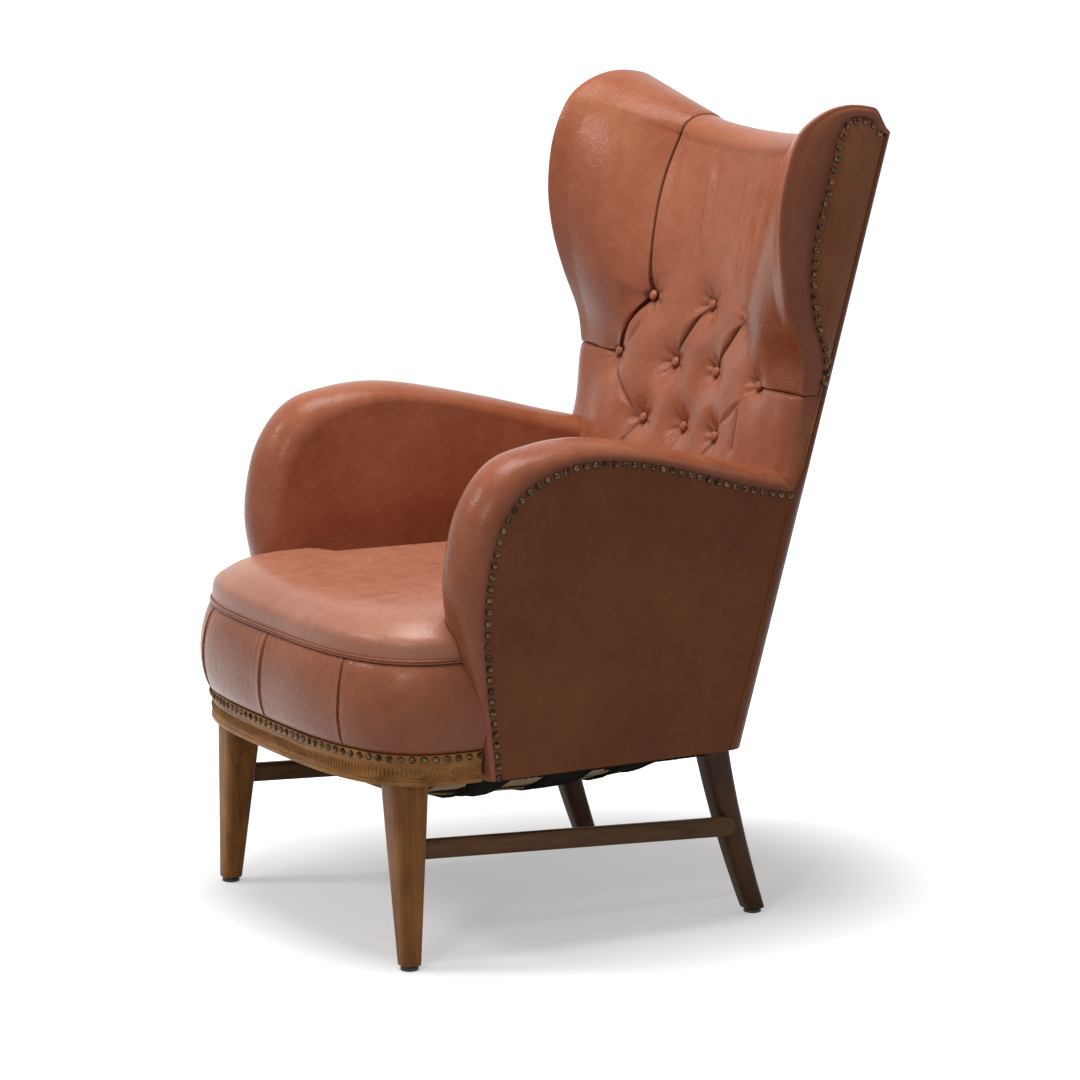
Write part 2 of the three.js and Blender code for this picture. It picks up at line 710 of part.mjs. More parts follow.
function wingPointAt(u, row, padded) {
  const { seam, rim, nail, inward, shoulder } = wingFrame(row);
  const thickness = padded ? 0 : lerp(waistPadding, wingPadding, clampShare(row / tuckRows));
  const rowBump = Math.sin(halfTurn(clampShare(row / seamRows)));
  if (u <= wingFaceShare) {
    const share = u / wingFaceShare;
    const bump = padded ? wingBump * Math.sin(halfTurn(share)) * rowBump : 0;
    return seam.clone().lerp(shoulder, share).addScaledVector(inward, thickness - bump);
  }
  const share = (u - wingFaceShare) / (1 - wingFaceShare);
  if (!padded) {
    const from = shoulder.clone().addScaledVector(inward, thickness);
    return from.lerp(nail.clone().setX(nail.x - rollPadding), share);
  }
  const reach = rim.clone().lerp(shoulder, 1 - rimHandleShare);
  const lead = nail.clone().lerp(rim, rimHandleShare).setX(nail.x);
  return new THREE.CubicBezierCurve3(shoulder, reach, lead, nail).getPoint(share);
}
const wingColumns = [0, 0.2, 0.4, 0.6, 0.68, 0.76, 0.84, 0.92, 1];
const rowList = Array.from({ length: wingRows + 1 }, (unused, row) => row);
function wingPad(side) {
  const at = (u, row, padded) => {
    const place = wingPointAt(u, row, padded);
    return point(side * place.x, place.y, place.z);
  };
  const pad = slab(
    grid(rowList, wingColumns, (u, row) => at(u, row, true)),
    grid(rowList, wingColumns, (u, row) => at(u, row, false)),
  );
  return cut(pad, buttonSeats);
}
for (const [name, side] of sides) add(`wing_pad_${name}`, wingPad(side), tanLeather);

// Plywood board that stiffens each ear, just behind its pad
const boardEdgeShare = 0.52;
const boardColumns = [...wingColumns.slice(1, 3), boardEdgeShare];
const boardRows = rowList.slice(tuckRows, seamRows - 1);
function wingBoard(side) {
  const at = (u, row, depth) => {
    const place = wingPointAt(u, row, false).addScaledVector(wingFrame(row).inward, depth);
    return point(side * place.x, place.y, place.z);
  };
  return slab(
    grid(boardRows, boardColumns, (u, row) => at(u, row, clothGap)),
    grid(boardRows, boardColumns, (u, row) => at(u, row, boardThickness)),
  );
}
for (const [name, side] of sides) add(`wing_board_${name}`, wingBoard(side), frameWood);

// Outer panel of each ear, with its narrow tail down beside the back to the end of the arm
const tailShares = [0, 0.33, 0.67];
const wingPeakRow = 10;
function wingPanelRows() {
  const tail = tailShares.map((share) => {
    const z = lerp(armRearZ + clothGap, waistZ, share);
    return point(rearHalfWidth, rearLineY(z) - nailEdgeDepth + contactGap, z);
  });
  const middle = wingNails.getPoint(0.5);
  const inset = (row) => {
    const nail = wingFrame(row).nail;
    const away = point(0, middle.y - nail.y, middle.z - nail.z).normalize();
    return nail.addScaledVector(row > wingPeakRow - 2 ? away : point(0, 1, 0), 2 * contactGap);
  };
  const front = [...tail, ...rowList.slice(0, wingPeakRow + 1).map(inset)];
  const over = rowList.slice(wingPeakRow).reverse().map(inset);
  const lowZ = armRearZ + clothGap;
  const rearLine = steps(front.length - over.length - 1).map((share) => {
    const z = lerp(lowZ, over[0].z, share);
    return point(rearHalfWidth, rearLineY(z) - panelThickness - clothGap, z);
  });
  const rear = [...rearLine, ...over];
  return front.map((from, k) => [from, rear[k]]);
}
function wingPanel(side) {
  const rows = wingPanelRows();
  const at = ([from, to], u, inset) => {
    const place = from.clone().lerp(to, u);
    return point(side * (place.x - inset), place.y, place.z);
  };
  return slab(
    rows.map((row) => steps(3).map((u) => at(row, u, 0))),
    rows.map((row) => steps(3).map((u) => at(row, u, panelThickness))),
  );
}
for (const [name, side] of sides) add(`wing_panel_${name}`, wingPanel(side), brownLeather);

const wingTrim = rowList.slice(1, wingRows).map((row) => {
  const nail = wingNails.getPoint(row / wingRows);
  const along = wingNails.getTangent(row / wingRows);
  const out = point(0, -along.z, along.y).normalize();
  return { at: nail.addScaledVector(out, -wingTrimInset), across: out };
});
for (const [name, side] of sides) add(`wing_nails_${name}`, trimStrip(wingTrim, side), agedBrass);

// Bow-front apron of show wood
const bowSteps = 36;
const bowAngles = steps(bowSteps).map(halfTurn);
function bowStrip(outerGrow, innerGrow, heights) {
  const at = (angle, z, grow) => {
    const [x, y] = bowPoint(angle, grow);
    return point(x, y, z);
  };
  return slab(
    heights.map(([z, bulge]) => bowAngles.map((angle) => at(angle, z, outerGrow + bulge))),
    heights.map(([z]) => bowAngles.map((angle) => at(angle, z, innerGrow))),
  );
}
add('front_apron', bowStrip(0, -apronThickness, [[seatBaseZ, 0], [apronTopZ, 0]]), honeyWood);

const apronTrim = [apronTopZ - apronTrimDrop - nailWidth, apronTopZ - apronTrimDrop].map((z) => [z, 0]);
add('apron_nails', bowStrip(clothGap + nailProud, clothGap, apronTrim), agedBrass);

// Pleated front band between the apron and the seat seam
const bandShares = [0, 0.15, 0.45, 0.8, 1];
const stepsPerPleat = 6;
const swellPower = 0.6;
const pleatPower = 12;
const bandSteps = pleatCount * stepsPerPleat;
const bandSwell = (share) => bandBulge * Math.sin(halfTurn(share)) ** swellPower - bandSeamInset * share;
function frontBand() {
  const angles = steps(bandSteps).map(halfTurn);
  const at = (angle, share, grow) => {
    const [x, y] = bowPoint(angle, grow);
    return point(x, y, lerp(apronTopZ + contactGap, seamZ - contactGap, share));
  };
  const pleat = (angle) => pleatDepth * Math.abs(Math.cos(angle * pleatCount)) ** pleatPower;
  const outer = grid(bandShares, angles, (angle, share) => (
    at(angle, share, bandSwell(share) - pleat(angle) * Math.sin(halfTurn(share)))));
  const inner = grid(bandShares, angles, (angle, share) => at(angle, share, -bandThickness));
  return cut(slab(outer, inner), armSpaces);
}
add('seat_band', frontBand(), tanLeather);

// Plan of the seat: bow front ahead of the arms and a narrower run back between them
const seatSideShares = [0, 0.25, 0.5, 0.75, 1];
function seatOutline(grow, sideGap, rearY) {
  const bow = steps(bowSteps).map((share) => bowPoint(halfTurn(share), grow));
  const side = seatSideShares.map((share) => {
    const y = lerp(bowBackY, rearY, share);
    return [armInnerX(y) - sideGap, y];
  });
  const rearSteps = [-0.5, 0, 0.5].map((share) => [share * side[side.length - 1][0], rearY]);
  return [...bow, ...side.map(([x, y]) => [-x, y]), ...rearSteps, ...side.reverse()];
}

// A cushion over a plan outline: rings drawn in towards a hub, each at its own height
function cushionSolid(outline, hub, ringShares, topZ, bottomZ) {
  const ring = (share, z) => outline.map(([x, y], m) => {
    const place = point(lerp(hub[0], x, share), lerp(hub[1], y, share), 0);
    place.z = z(share, place, m);
    return place;
  });
  return loft([ring(1, () => bottomZ), ...ringShares.map((share) => ring(share, topZ))]);
}
const seatHub = [0, bowBackY + bowDepth / 2];

// Stuffed platform on the rails, inside the band
const platformTopZ = seamZ - clothGap;
const platformBottomZ = apronTopZ + contactGap;
const platformOutline = seatOutline(-bandThickness - clothGap, clothGap, platformRearY);
const platform = cushionSolid(platformOutline, seatHub, [1], () => platformTopZ, platformBottomZ);
add('seat_platform', cut(platform, armSpaces), paleCloth);

// Crowned seat cover with its front roll
const seatRings = [1, 0.97, 0.92, 0.84, 0.7, 0.5, 0.25];
const crownPower = 7;
const seatTop = (share) => seamZ + cushionEdge + cushionRise * (1 - share ** crownPower);
function backSpace() {
  const heights = [backPadBottomZ - clothGap, seamZ, seamZ + cushionRise, seamZ + 2 * cushionRise];
  const columns = steps(16).map((u) => lerp(-rearHalfWidth, rearHalfWidth, u));
  return slab(
    grid(heights, columns, (x, z) => point(x, faceY(x, z) - 2 * clothGap, z)),
    grid(heights, columns, (x, z) => point(x, rearLineY(z) + rearBulgeHigh, z)),
  );
}
const seatCover = cushionSolid(
  seatOutline(-bandSeamInset, clothGap, seatRearY),
  seatHub,
  seatRings,
  seatTop,
  seamZ + contactGap,
);
add('seat_cushion', cut(seatCover, [...armSpaces, backSpace()]), tanLeather);

// Piping along the front seam
function seatWelt() {
  const centreGrow = -bandSeamInset + weltRadius + clothGap;
  const angles = steps(bowSteps).slice(1, bowSteps).map(halfTurn);
  const rings = angles.map((angle) => {
    const [x, y] = bowPoint(angle, centreGrow);
    const [ax, ay] = bowPoint(angle, centreGrow + weltRadius);
    const out = point(ax - x, ay - y, 0).normalize();
    return steps(6).slice(0, 6).map((turn) => (
      point(x, y, seamZ)
        .addScaledVector(out, weltRadius * Math.cos(2 * halfTurn(turn)))
        .add(point(0, 0, weltRadius * Math.sin(2 * halfTurn(turn))))));
  });
  return cut(loft(rings), armSpaces);
}
add('seat_welt', seatWelt(), tanLeather);

// Side rails inside the panels, from the arm strip to the rear rail
const railTopZ = apronTopZ;
const railHeights = [seatBaseZ, railTopZ];
const sideRailFrontY = armStripY + clothGap;
const rearRailFrontY = (z) => rearLineY(z) - panelThickness - clothGap - railWidth;
for (const [name, side] of sides) {
  const at = (u, z, inset) => {
    const y = lerp(sideRailFrontY, rearRailFrontY(seatBaseZ) - clothGap, u);
    return point(side * (sideX(y, z) - panelThickness - clothGap - inset), y, z);
  };
  const rail = slab(
    grid(railHeights, steps(4), (u, z) => at(u, z, 0)),
    grid(railHeights, steps(4), (u, z) => at(u, z, railWidth)),
  );
  add(`side_rail_${name}`, rail, frameWood);
}

// Rails that follow the bow of the back: seat rear rail, lower rail and crest rail
function bowedRail(halfWidth, lowZ, highZ, depth) {
  const columns = steps(12).map((u) => lerp(-halfWidth, halfWidth, u));
  const at = (x, z, inset) => point(x, rearFaceY(x, z) - panelThickness - clothGap - inset, z);
  return slab(
    grid([lowZ, highZ], columns, (x, z) => at(x, z, 0)),
    grid([lowZ, highZ], columns, (x, z) => at(x, z, depth)),
  );
}
const seatRailHalf = rearHalfWidth - panelThickness - clothGap;
add('rear_rail', bowedRail(seatRailHalf, seatBaseZ, railTopZ, railWidth), frameWood);
const backRailHalf = postInnerX - contactGap;
add('lower_back_rail', bowedRail(backRailHalf, lowerRailZ, lowerRailZ + lowerRailHeight, railDepth), frameWood);
add('crest_rail', bowedRail(backRailHalf, crestRailZ, crestRailZ + crestRailHeight, railDepth), frameWood);

// Raked rear posts standing on the rear rail
for (const [name, side] of sides) {
  const heights = [railTopZ + contactGap, rearPostTopZ];
  const across = [postInnerX, postInnerX + postWidth];
  const at = (x, z, inset) => point(side * x, rearLineY(z) - panelThickness - clothGap - inset, z);
  const post = slab(
    grid(heights, across, (x, z) => at(x, z, 0)),
    grid(heights, across, (x, z) => at(x, z, postDepth)),
  );
  add(`rear_post_${name}`, post, frameWood);
}

// Arm posts and sloping arm rails inside the arms
const armFrameX = (y, z, outer) => (outer
  ? sideX(y, z) - panelThickness - clothGap
  : armInnerX(y) + armPadding + clothGap);
for (const [name, side] of sides) {
  const postDepths = [armPostFrontY, armPostFrontY + armPostDepth];
  const railLowZ = lerp(armRailFrontZ, armRailRearZ, armPostDepth / armLength);
  const postHeights = steps(5).map((v) => lerp(railTopZ + contactGap, railLowZ - contactGap, v));
  const at = (y, z, outer) => point(side * armFrameX(y, z, outer), y, z);
  const post = slab(
    grid(postHeights, postDepths, (y, z) => at(y, z, true)),
    grid(postHeights, postDepths, (y, z) => at(y, z, false)),
  );
  add(`arm_post_${name}`, post, frameWood);
  const railRearY = rearLineY(armRailRearZ) - postFrontDepth - clothGap;
  const railAt = (u, v, outer) => {
    const y = lerp(armPostFrontY, railRearY, u);
    const z = lerp(armRailFrontZ, armRailRearZ, u) + v * armRailHeight;
    return point(side * armFrameX(y, z, outer), y, z);
  };
  const rail = slab(
    grid([0, 1], steps(5), (u, v) => railAt(u, v, true)),
    grid([0, 1], steps(5), (u, v) => railAt(u, v, false)),
  );
  add(`arm_rail_${name}`, rail, frameWood);
}

// Corner blocks: front ones in the corners of the bow, rear ones between side and rear rails
const blockAngleShares = [0.06, 0.12, 0.18, 0.25, 0.32];
const blockTopZ = railTopZ - contactGap;
for (const [name, side] of sides) {
  const arc = blockAngleShares.map((share) => bowPoint(halfTurn(share), -apronThickness - clothGap));
  const inner = [arc[arc.length - 1][0], arc[0][1]];
  const outline = [...arc, inner].map(([x, y]) => [side * x, y]);
  if (side < 0) outline.reverse();
  add(`front_block_${name}`, prism(outline, seatBaseZ, blockTopZ), frameWood);
  const rearY = rearRailFrontY(seatBaseZ) - clothGap;
  const sideAt = Math.min(sideX(rearY, seatBaseZ), sideX(rearY - blockReach, seatBaseZ));
  const rearX = sideAt - panelThickness - railWidth - 2 * clothGap;
  const rear = [[rearX, rearY], [rearX - blockReach, rearY], [rearX, rearY - blockReach]];
  const rearOutline = rear.map(([x, y]) => [side * x, y]);
  if (side < 0) rearOutline.reverse();
  add(`rear_block_${name}`, prism(rearOutline, seatBaseZ, blockTopZ), frameWood);
}

// Webbing net under the seat, tacked to the rails and sagging towards the middle
const lengthwiseShares = [-0.6, -0.2, 0.2, 0.6];
const crosswiseShares = [0.2, 0.36, 0.52, 0.68, 0.84];
function webbing() {
  const dip = (x, y) => {
    const across = clampShare(1 - (x / webHalfX) ** 2);
    const along = Math.sin(halfTurn(clampShare((y - webFrontY) / (webRearY - webFrontY))));
    return seatBaseZ - contactGap - webSag * across * along;
  };
  const strip = (at) => slab(
    grid(steps(6), [-1, 1], (way, share) => at(share, way, 0)),
    grid(steps(6), [-1, 1], (way, share) => at(share, way, webThickness)),
  );
  const lengthwise = lengthwiseShares.map((place) => strip((share, way, drop) => {
    const x = place * webHalfX + way * webWidth / 2;
    const y = lerp(webFrontY, webRearY, share);
    return point(x, y, dip(place * webHalfX, y) - drop);
  }));
  const crosswise = crosswiseShares.map((place) => strip((share, way, drop) => {
    const y = lerp(webFrontY, webRearY, place);
    const x = lerp(-webHalfX, webHalfX, share);
    return point(x, y + way * webWidth / 2, dip(x, y) - drop);
  }));
  const joined = [...lengthwise, ...crosswise].map(toSolid).reduce((net, piece) => net.add(piece));
  return fromSolid(joined);
}
add('seat_webbing', webbing(), jute);

// Rounded-square section for the legs
const legSides = 16;
function legRing(x, y, z, width) {
  return steps(legSides).slice(0, legSides).map((share) => {
    const angle = 2 * halfTurn(share);
    const squared = (value) => Math.sign(value) * Math.abs(value) ** (2 / legRoundPower);
    return point(x + (width / 2) * squared(Math.cos(angle)), y + (width / 2) * squared(Math.sin(angle)), z);
  });
}
const legTopZ = seatBaseZ - contactGap;
const legRise = legTopZ - glideHeight;
const frontLegAt = (share) => [
  lerp(frontFootX, frontLegX, share),
  lerp(frontFootY, frontLegY, share),
  lerp(glideHeight + contactGap, legTopZ, share),
];
function rearLegAt(share) {
  const rise = share * legRise;
  const sweep = rearFootSlope * rise - ((rearFootSlope - rearTopSlope) / (2 * legRise)) * rise ** 2;
  return [lerp(rearFootX, rearLegX, share), rearFootY - sweep, lerp(glideHeight + contactGap, legTopZ, share)];
}
function leg(side, at, footWidth, topWidth, count) {
  return loft(steps(count).map((share) => {
    const [x, y, z] = at(share);
    return legRing(side * x, y, z, lerp(footWidth, topWidth, share));
  }));
}
function glide(x, y) {
  const disc = new THREE.CylinderGeometry(glideRadius, glideRadius, glideHeight, 16);
  disc.deleteAttribute('normal');
  disc.deleteAttribute('uv');
  disc.rotateX(Math.PI / 2);
  disc.translate(x, y, glideHeight / 2);
  return mergeVertices(disc);
}
for (const [name, side] of sides) {
  add(`front_leg_${name}`, leg(side, frontLegAt, frontLegFootWidth, frontLegTopWidth, 2), honeyWood);
  add(`rear_leg_${name}`, leg(side, rearLegAt, rearLegFootWidth, rearLegTopWidth, 6), darkWood);
  add(`front_glide_${name}`, glide(side * frontFootX, frontFootY), blackMetal);
  add(`rear_glide_${name}`, glide(side * rearFootX, rearFootY), blackMetal);
}

// Side stretchers: butted to the front legs and lapped, round-ended, on the outside of the rear legs
const roundEndShares = [0.35, 0.65, 0.87];
function stretcher(side) {
  const frontShare = (stretcherFrontZ + stretcherHeight / 2 - glideHeight) / legRise;
  const legHalf = lerp(frontLegFootWidth, frontLegTopWidth, frontShare) / 2;
  const frontY = frontLegAt(frontShare)[1] + legHalf + contactGap;
  const roundStart = stretcherTipY - stretcherHeight / 2;
  const stations = [frontY, roundStart, ...roundEndShares.map((share) => lerp(roundStart, stretcherTipY, share))];
  return loft(stations.map((y) => {
    const share = (y - frontY) / (stretcherTipY - frontY);
    const beyond = Math.max(0, y - roundStart) / (stretcherHeight / 2);
    const halfHeight = (stretcherHeight / 2) * Math.sqrt(1 - beyond ** 2);
    const halfWidth = stretcherWidth / 2;
    const x = lerp(stretcherFrontX, stretcherRearX, share);
    const z = lerp(stretcherFrontZ, stretcherRearZ, share);
    const ease = Math.min(stretcherChamfer, halfHeight / 2);
    const section = [
      [halfWidth, halfHeight - ease], [halfWidth - ease, halfHeight],
      [ease - halfWidth, halfHeight], [-halfWidth, halfHeight - ease],
      [-halfWidth, ease - halfHeight], [ease - halfWidth, -halfHeight],
      [halfWidth - ease, -halfHeight], [halfWidth, ease - halfHeight],
    ];
    return section.map(([dx, dz]) => point(side * (x + dx), y, z + dz));
  }));
}
for (const [name, side] of sides) add(`side_stretcher_${name}`, stretcher(side), darkWood);

// The origin is on the floor under the middle of the chair's depth
const frontMostY = bowBackY - bowDepth - Math.max(...bandShares.map(bandSwell));
const rearMostY = rollRearY(0);
group.position.y = -(frontMostY + rearMostY) / 2;
group.updateMatrixWorld(true);

export default group;
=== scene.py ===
import math

import bpy
import numpy as np
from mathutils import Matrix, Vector


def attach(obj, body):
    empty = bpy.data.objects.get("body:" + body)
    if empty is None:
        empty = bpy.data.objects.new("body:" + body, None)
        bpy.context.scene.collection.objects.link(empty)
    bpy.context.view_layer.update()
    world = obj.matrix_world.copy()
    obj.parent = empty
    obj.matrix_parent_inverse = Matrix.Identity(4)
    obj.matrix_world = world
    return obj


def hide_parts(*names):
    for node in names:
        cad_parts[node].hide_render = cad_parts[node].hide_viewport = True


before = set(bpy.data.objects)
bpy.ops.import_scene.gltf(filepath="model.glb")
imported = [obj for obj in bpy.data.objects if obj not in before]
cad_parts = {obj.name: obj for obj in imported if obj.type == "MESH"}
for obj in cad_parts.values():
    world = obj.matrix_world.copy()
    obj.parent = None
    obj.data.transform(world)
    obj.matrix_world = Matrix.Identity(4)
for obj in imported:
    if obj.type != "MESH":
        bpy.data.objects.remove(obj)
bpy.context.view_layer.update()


# Studio: a white floor that keeps a faint shadow, a wide soft light above the chair with two small
# ones in front of it, and a long lens at the chair's left-hand front corner.
def set_node(tree, kind, links=None, **settings):
    node = tree.nodes.new(kind)
    for name, value in settings.items():
        setattr(node, name, value)
    for socket, source in (links or {}).items():
        if isinstance(source, bpy.types.NodeSocket):
            tree.links.new(source, node.inputs[socket])
        else:
            node.inputs[socket].default_value = source
    return node


def worked_out(tree, operation, *values):
    return set_node(tree, "ShaderNodeMath", dict(enumerate(values)), operation=operation).outputs[0]


def respread(tree, value, low=0.0, high=1.0, start=0.0, end=1.0, curve="LINEAR"):
    return set_node(tree, "ShaderNodeMapRange", {0: value, 1: low, 2: high, 3: start, 4: end},
                    interpolation_type=curve).outputs[0]


def seen_directly(tree):
    path = set_node(tree, "ShaderNodeLightPath").outputs
    either = worked_out(tree, "MAXIMUM", path["Is Camera Ray"], path["Is Glossy Ray"])
    return worked_out(tree, "MAXIMUM", either, path["Is Transmission Ray"])


def white_floor_finish():
    shadow_radius, white_radius, shadow_glow = 0.34, 0.84, 0.38
    bounced_grey, seen_grey = 0.4, 0.72
    material = bpy.data.materials.new("white_floor")
    material.use_nodes = True
    tree = material.node_tree
    tree.nodes.clear()
    spot = set_node(tree, "ShaderNodeTexCoord").outputs["Object"]
    away = set_node(tree, "ShaderNodeVectorMath", {0: spot}, operation="LENGTH").outputs["Value"]
    glow = respread(tree, away, shadow_radius, white_radius, shadow_glow, 1.0, "SMOOTHSTEP")
    seen = seen_directly(tree)
    glowing = set_node(tree, "ShaderNodeEmission", {"Strength": worked_out(tree, "MULTIPLY", glow, seen)})
    grey = respread(tree, seen, start=bounced_grey, end=seen_grey)
    matt = set_node(tree, "ShaderNodeBsdfDiffuse", {"Color": grey})
    both = set_node(tree, "ShaderNodeAddShader", {0: glowing.outputs[0], 1: matt.outputs[0]})
    set_node(tree, "ShaderNodeOutputMaterial", {"Surface": both.outputs[0]})
    return material


bpy.ops.mesh.primitive_plane_add(size=60, location=(0, 0, 0))
floor = bpy.context.object
floor.name = "studio_floor"
floor.data.materials.append(white_floor_finish())

world = bpy.data.worlds.new("white_studio")
bpy.context.scene.world = world
world.use_nodes = True
world.node_tree.nodes.clear()
white = (1, 1, 1, 1)
ambient = set_node(world.node_tree, "ShaderNodeBackground", {"Color": white, "Strength": 0.23})
backdrop = set_node(world.node_tree, "ShaderNodeBackground", {"Color": white, "Strength": 1.0})
choice = set_node(world.node_tree, "ShaderNodeMixShader",
                  {0: seen_directly(world.node_tree), 1: ambient.outputs[0], 2: backdrop.outputs[0]})
set_node(world.node_tree, "ShaderNodeOutputWorld", {"Surface": choice.outputs[0]})


def hang_softbox(name, place, aim, width, watts):
    lamp = bpy.data.lights.new(name, "AREA")
    lamp.size = width
    lamp.energy = watts
    holder = bpy.data.objects.new(name, lamp)
    holder.location = place
    holder.rotation_euler = (Vector(aim) - Vector(place)).to_track_quat("-Z", "Y").to_euler()
    bpy.context.scene.collection.objects.link(holder)


hang_softbox("front_softbox", place=(-1.1, -2.7, 2.7), aim=(0, 0, 0.5), width=0.5, watts=25)
hang_softbox("top_softbox", place=(0.1, -0.3, 3.1), aim=(0, 0, 0.5), width=1.6, watts=80)
hang_softbox("side_softbox", place=(2.2, -2.6, 2.2), aim=(0, 0, 0.6), width=0.5, watts=18)

lens_tilt, lens_turn = 10.3706, 60.99
lens = bpy.data.cameras.new("long_lens")
lens.sensor_width = 36
lens.lens = 166.667
lens.clip_end = 200
camera = bpy.data.objects.new("long_lens", lens)
camera.location = (5.754863, -3.173543, 1.690297)
camera.rotation_euler = (math.radians(90 - lens_tilt), 0, math.radians(lens_turn))
bpy.context.scene.collection.objects.link(camera)
bpy.context.scene.camera = camera
bpy.context.scene.view_settings.view_transform = "Standard"


# Legs: stained beech, rounded square, tapered to the foot. The front pair is honey coloured and
# upright, the rear pair is dark and swept backwards; each is dowelled into its corner block.
def between(a, b, share):
    return a + (b - a) * share


def held(value):
    return min(1.0, max(0.0, value))


def eased(share):
    share = held(share)
    return share * share * (3 - 2 * share)


def hump(share):
    return math.sin(math.pi * share)


def rounded_off(past):
    return math.sqrt(max(0.0, 1 - max(0.0, past) ** 2))


def finish_mesh(mesh, sharp, creases):
    mesh.calc_loop_triangles()
    corners = np.empty(len(mesh.vertices) * 3)
    mesh.vertices.foreach_get("co", corners)
    thirds = np.empty(len(mesh.loop_triangles) * 3, dtype=np.int32)
    mesh.loop_triangles.foreach_get("vertices", thirds)
    a, b, c = corners.reshape(-1, 3)[thirds].reshape(-1, 3, 3).transpose(1, 0, 2)
    if (a * np.cross(b, c)).sum() < 0:
        mesh.flip_normals()
    mesh.shade_smooth()
    mesh.set_sharp_from_angle(angle=math.radians(sharp))
    # Painted shade: a point attribute giving how far each point is darkened in folds, seams, tucks and button
    # wells; 0 where none is given.
    crease_shade_mask = mesh.attributes.new("crease_shade", "FLOAT", "POINT")
    values = np.zeros(len(mesh.vertices), dtype=np.float32)
    if creases is not None:
        values[:len(creases)] = creases
    crease_shade_mask.data.foreach_set("value", values)


def make_object(name, points, faces, material, sharp=50, creases=None):
    mesh = bpy.data.meshes.new(name)
    mesh.from_pydata([tuple(p) for p in points], [], faces)
    mesh.validate()
    finish_mesh(mesh, sharp, creases)
    piece = bpy.data.objects.new(name, mesh)
    mesh.materials.append(material)
    bpy.context.scene.collection.objects.link(piece)
    return piece


def skin_rings(name, rings, material, sharp=50):
    count = len(rings[0])
    points = [p for ring in rings for p in ring]
    faces = []
    for k in range(len(rings) - 1):
        for m in range(count):
            n = (m + 1) % count
            low = k * count
            faces.append((low + m, low + n, low + count + n, low + count + m))
    for ring, backwards in ((0, True), (len(rings) - 1, False)):
        hub = len(points)
        points.append(sum((Vector(p) for p in rings[ring]), Vector()) / count)
        for m in range(count):
            pair = (ring * count + m, ring * count + (m + 1) % count)
            faces.append((hub, pair[1], pair[0]) if backwards else (hub, *pair))
    return make_object(name, points, faces, material, sharp)


def make_group(name, **inlets):
    group = bpy.data.node_groups.new(name, "ShaderNodeTree")
    for label, value in inlets.items():
        kind = {1: "Float", 3: "Vector", 4: "Color"}[len(value) if isinstance(value, tuple) else 1]
        socket = group.interface.new_socket(label, in_out="INPUT", socket_type=f"NodeSocket{kind}")
        socket.default_value = value
    for label, kind in (("Colour", "Color"), ("Roughness", "Float"), ("Height", "Float")):
        group.interface.new_socket(label, in_out="OUTPUT", socket_type=f"NodeSocket{kind}")
    spot = set_node(group, "ShaderNodeTexCoord").outputs["Object"]
    return group, group.nodes.new("NodeGroupInput").outputs, spot


def put_out(group, *sources):
    result = group.nodes.new("NodeGroupOutput").inputs
    for socket, source in enumerate(sources):
        group.links.new(source, result[socket])
    return group


def noise(group, spot, **settings):
    return set_node(group, "ShaderNodeTexNoise", {"Vector": spot, **settings}).outputs[0]


def colour_between(group, share, first, second):
    return set_node(group, "ShaderNodeMix", {0: share, 6: first, 7: second}, data_type="RGBA").outputs[2]


def make_wood_grain():
    group, given, spot = make_group("wood_grain", Dark=(0.1, 0.04, 0.01, 1), Light=(0.3, 0.12, 0.03, 1),
                                    Stretch=(60, 60, 4))
    along = set_node(group, "ShaderNodeVectorMath", {0: spot, 1: given["Stretch"]}, operation="MULTIPLY")
    along = along.outputs[0]
    figure = noise(group, along, Scale=1.0, Detail=5.0, Roughness=0.6, Distortion=0.7)
    pores = noise(group, along, Scale=7.0, Detail=4.0, Roughness=0.7)
    stain = noise(group, spot, Scale=14.0, Detail=3.0)
    total = worked_out(group, "MULTIPLY", figure, 0.62)
    total = worked_out(group, "MULTIPLY_ADD", pores, 0.23, total)
    total = worked_out(group, "MULTIPLY_ADD", stain, 0.3, total)
    colour = colour_between(group, respread(group, total, 0.4, 0.76), given["Dark"], given["Light"])
    return put_out(group, colour, respread(group, pores, 0.3, 0.7, 0.5, 0.34), pores)


wood_grain = make_wood_grain()


def surface(name, group, values, relief, strength=0.5, **shader):
    material = bpy.data.materials.new(name)
    material.use_nodes = True
    tree = material.node_tree
    principled = tree.nodes["Principled BSDF"]
    pattern = set_node(tree, "ShaderNodeGroup", node_tree=group)
    for label, value in values.items():
        pattern.inputs[label].default_value = value
    tree.links.new(pattern.outputs["Colour"], principled.inputs["Base Color"])
    tree.links.new(pattern.outputs["Roughness"], principled.inputs["Roughness"])
    bump = set_node(tree, "ShaderNodeBump",
                    {"Strength": strength, "Distance": relief, "Height": pattern.outputs["Height"]})
    tree.links.new(bump.outputs[0], principled.inputs["Normal"])
    for label, value in shader.items():
        principled.inputs[label.replace("_", " ")].default_value = value
    return material


def stained(name, dark, light, stretch, relief=0.0002):
    return surface(name, wood_grain, {"Dark": (*dark, 1), "Light": (*light, 1), "Stretch": stretch}, relief,
                   Specular_IOR_Level=0.15)


honey_upright = stained("honey_beech_leg", (0.11, 0.037, 0.009), (0.42, 0.17, 0.04), (55, 55, 5))
dark_upright = stained("dark_beech_leg", (0.028, 0.011, 0.005), (0.10, 0.042, 0.016), (55, 55, 5))


def squared_round(turn, power=0.5):
    return [math.copysign(abs(c) ** power, c) for c in (math.cos(turn), math.sin(turn))]


def leg_ring(x, y, z, width):
    ring = []
    for k in range(40):
        across, back = squared_round(2 * math.pi * k / 40)
        ring.append(Vector((x + width / 2 * across, y + width / 2 * back, z)))
    return ring


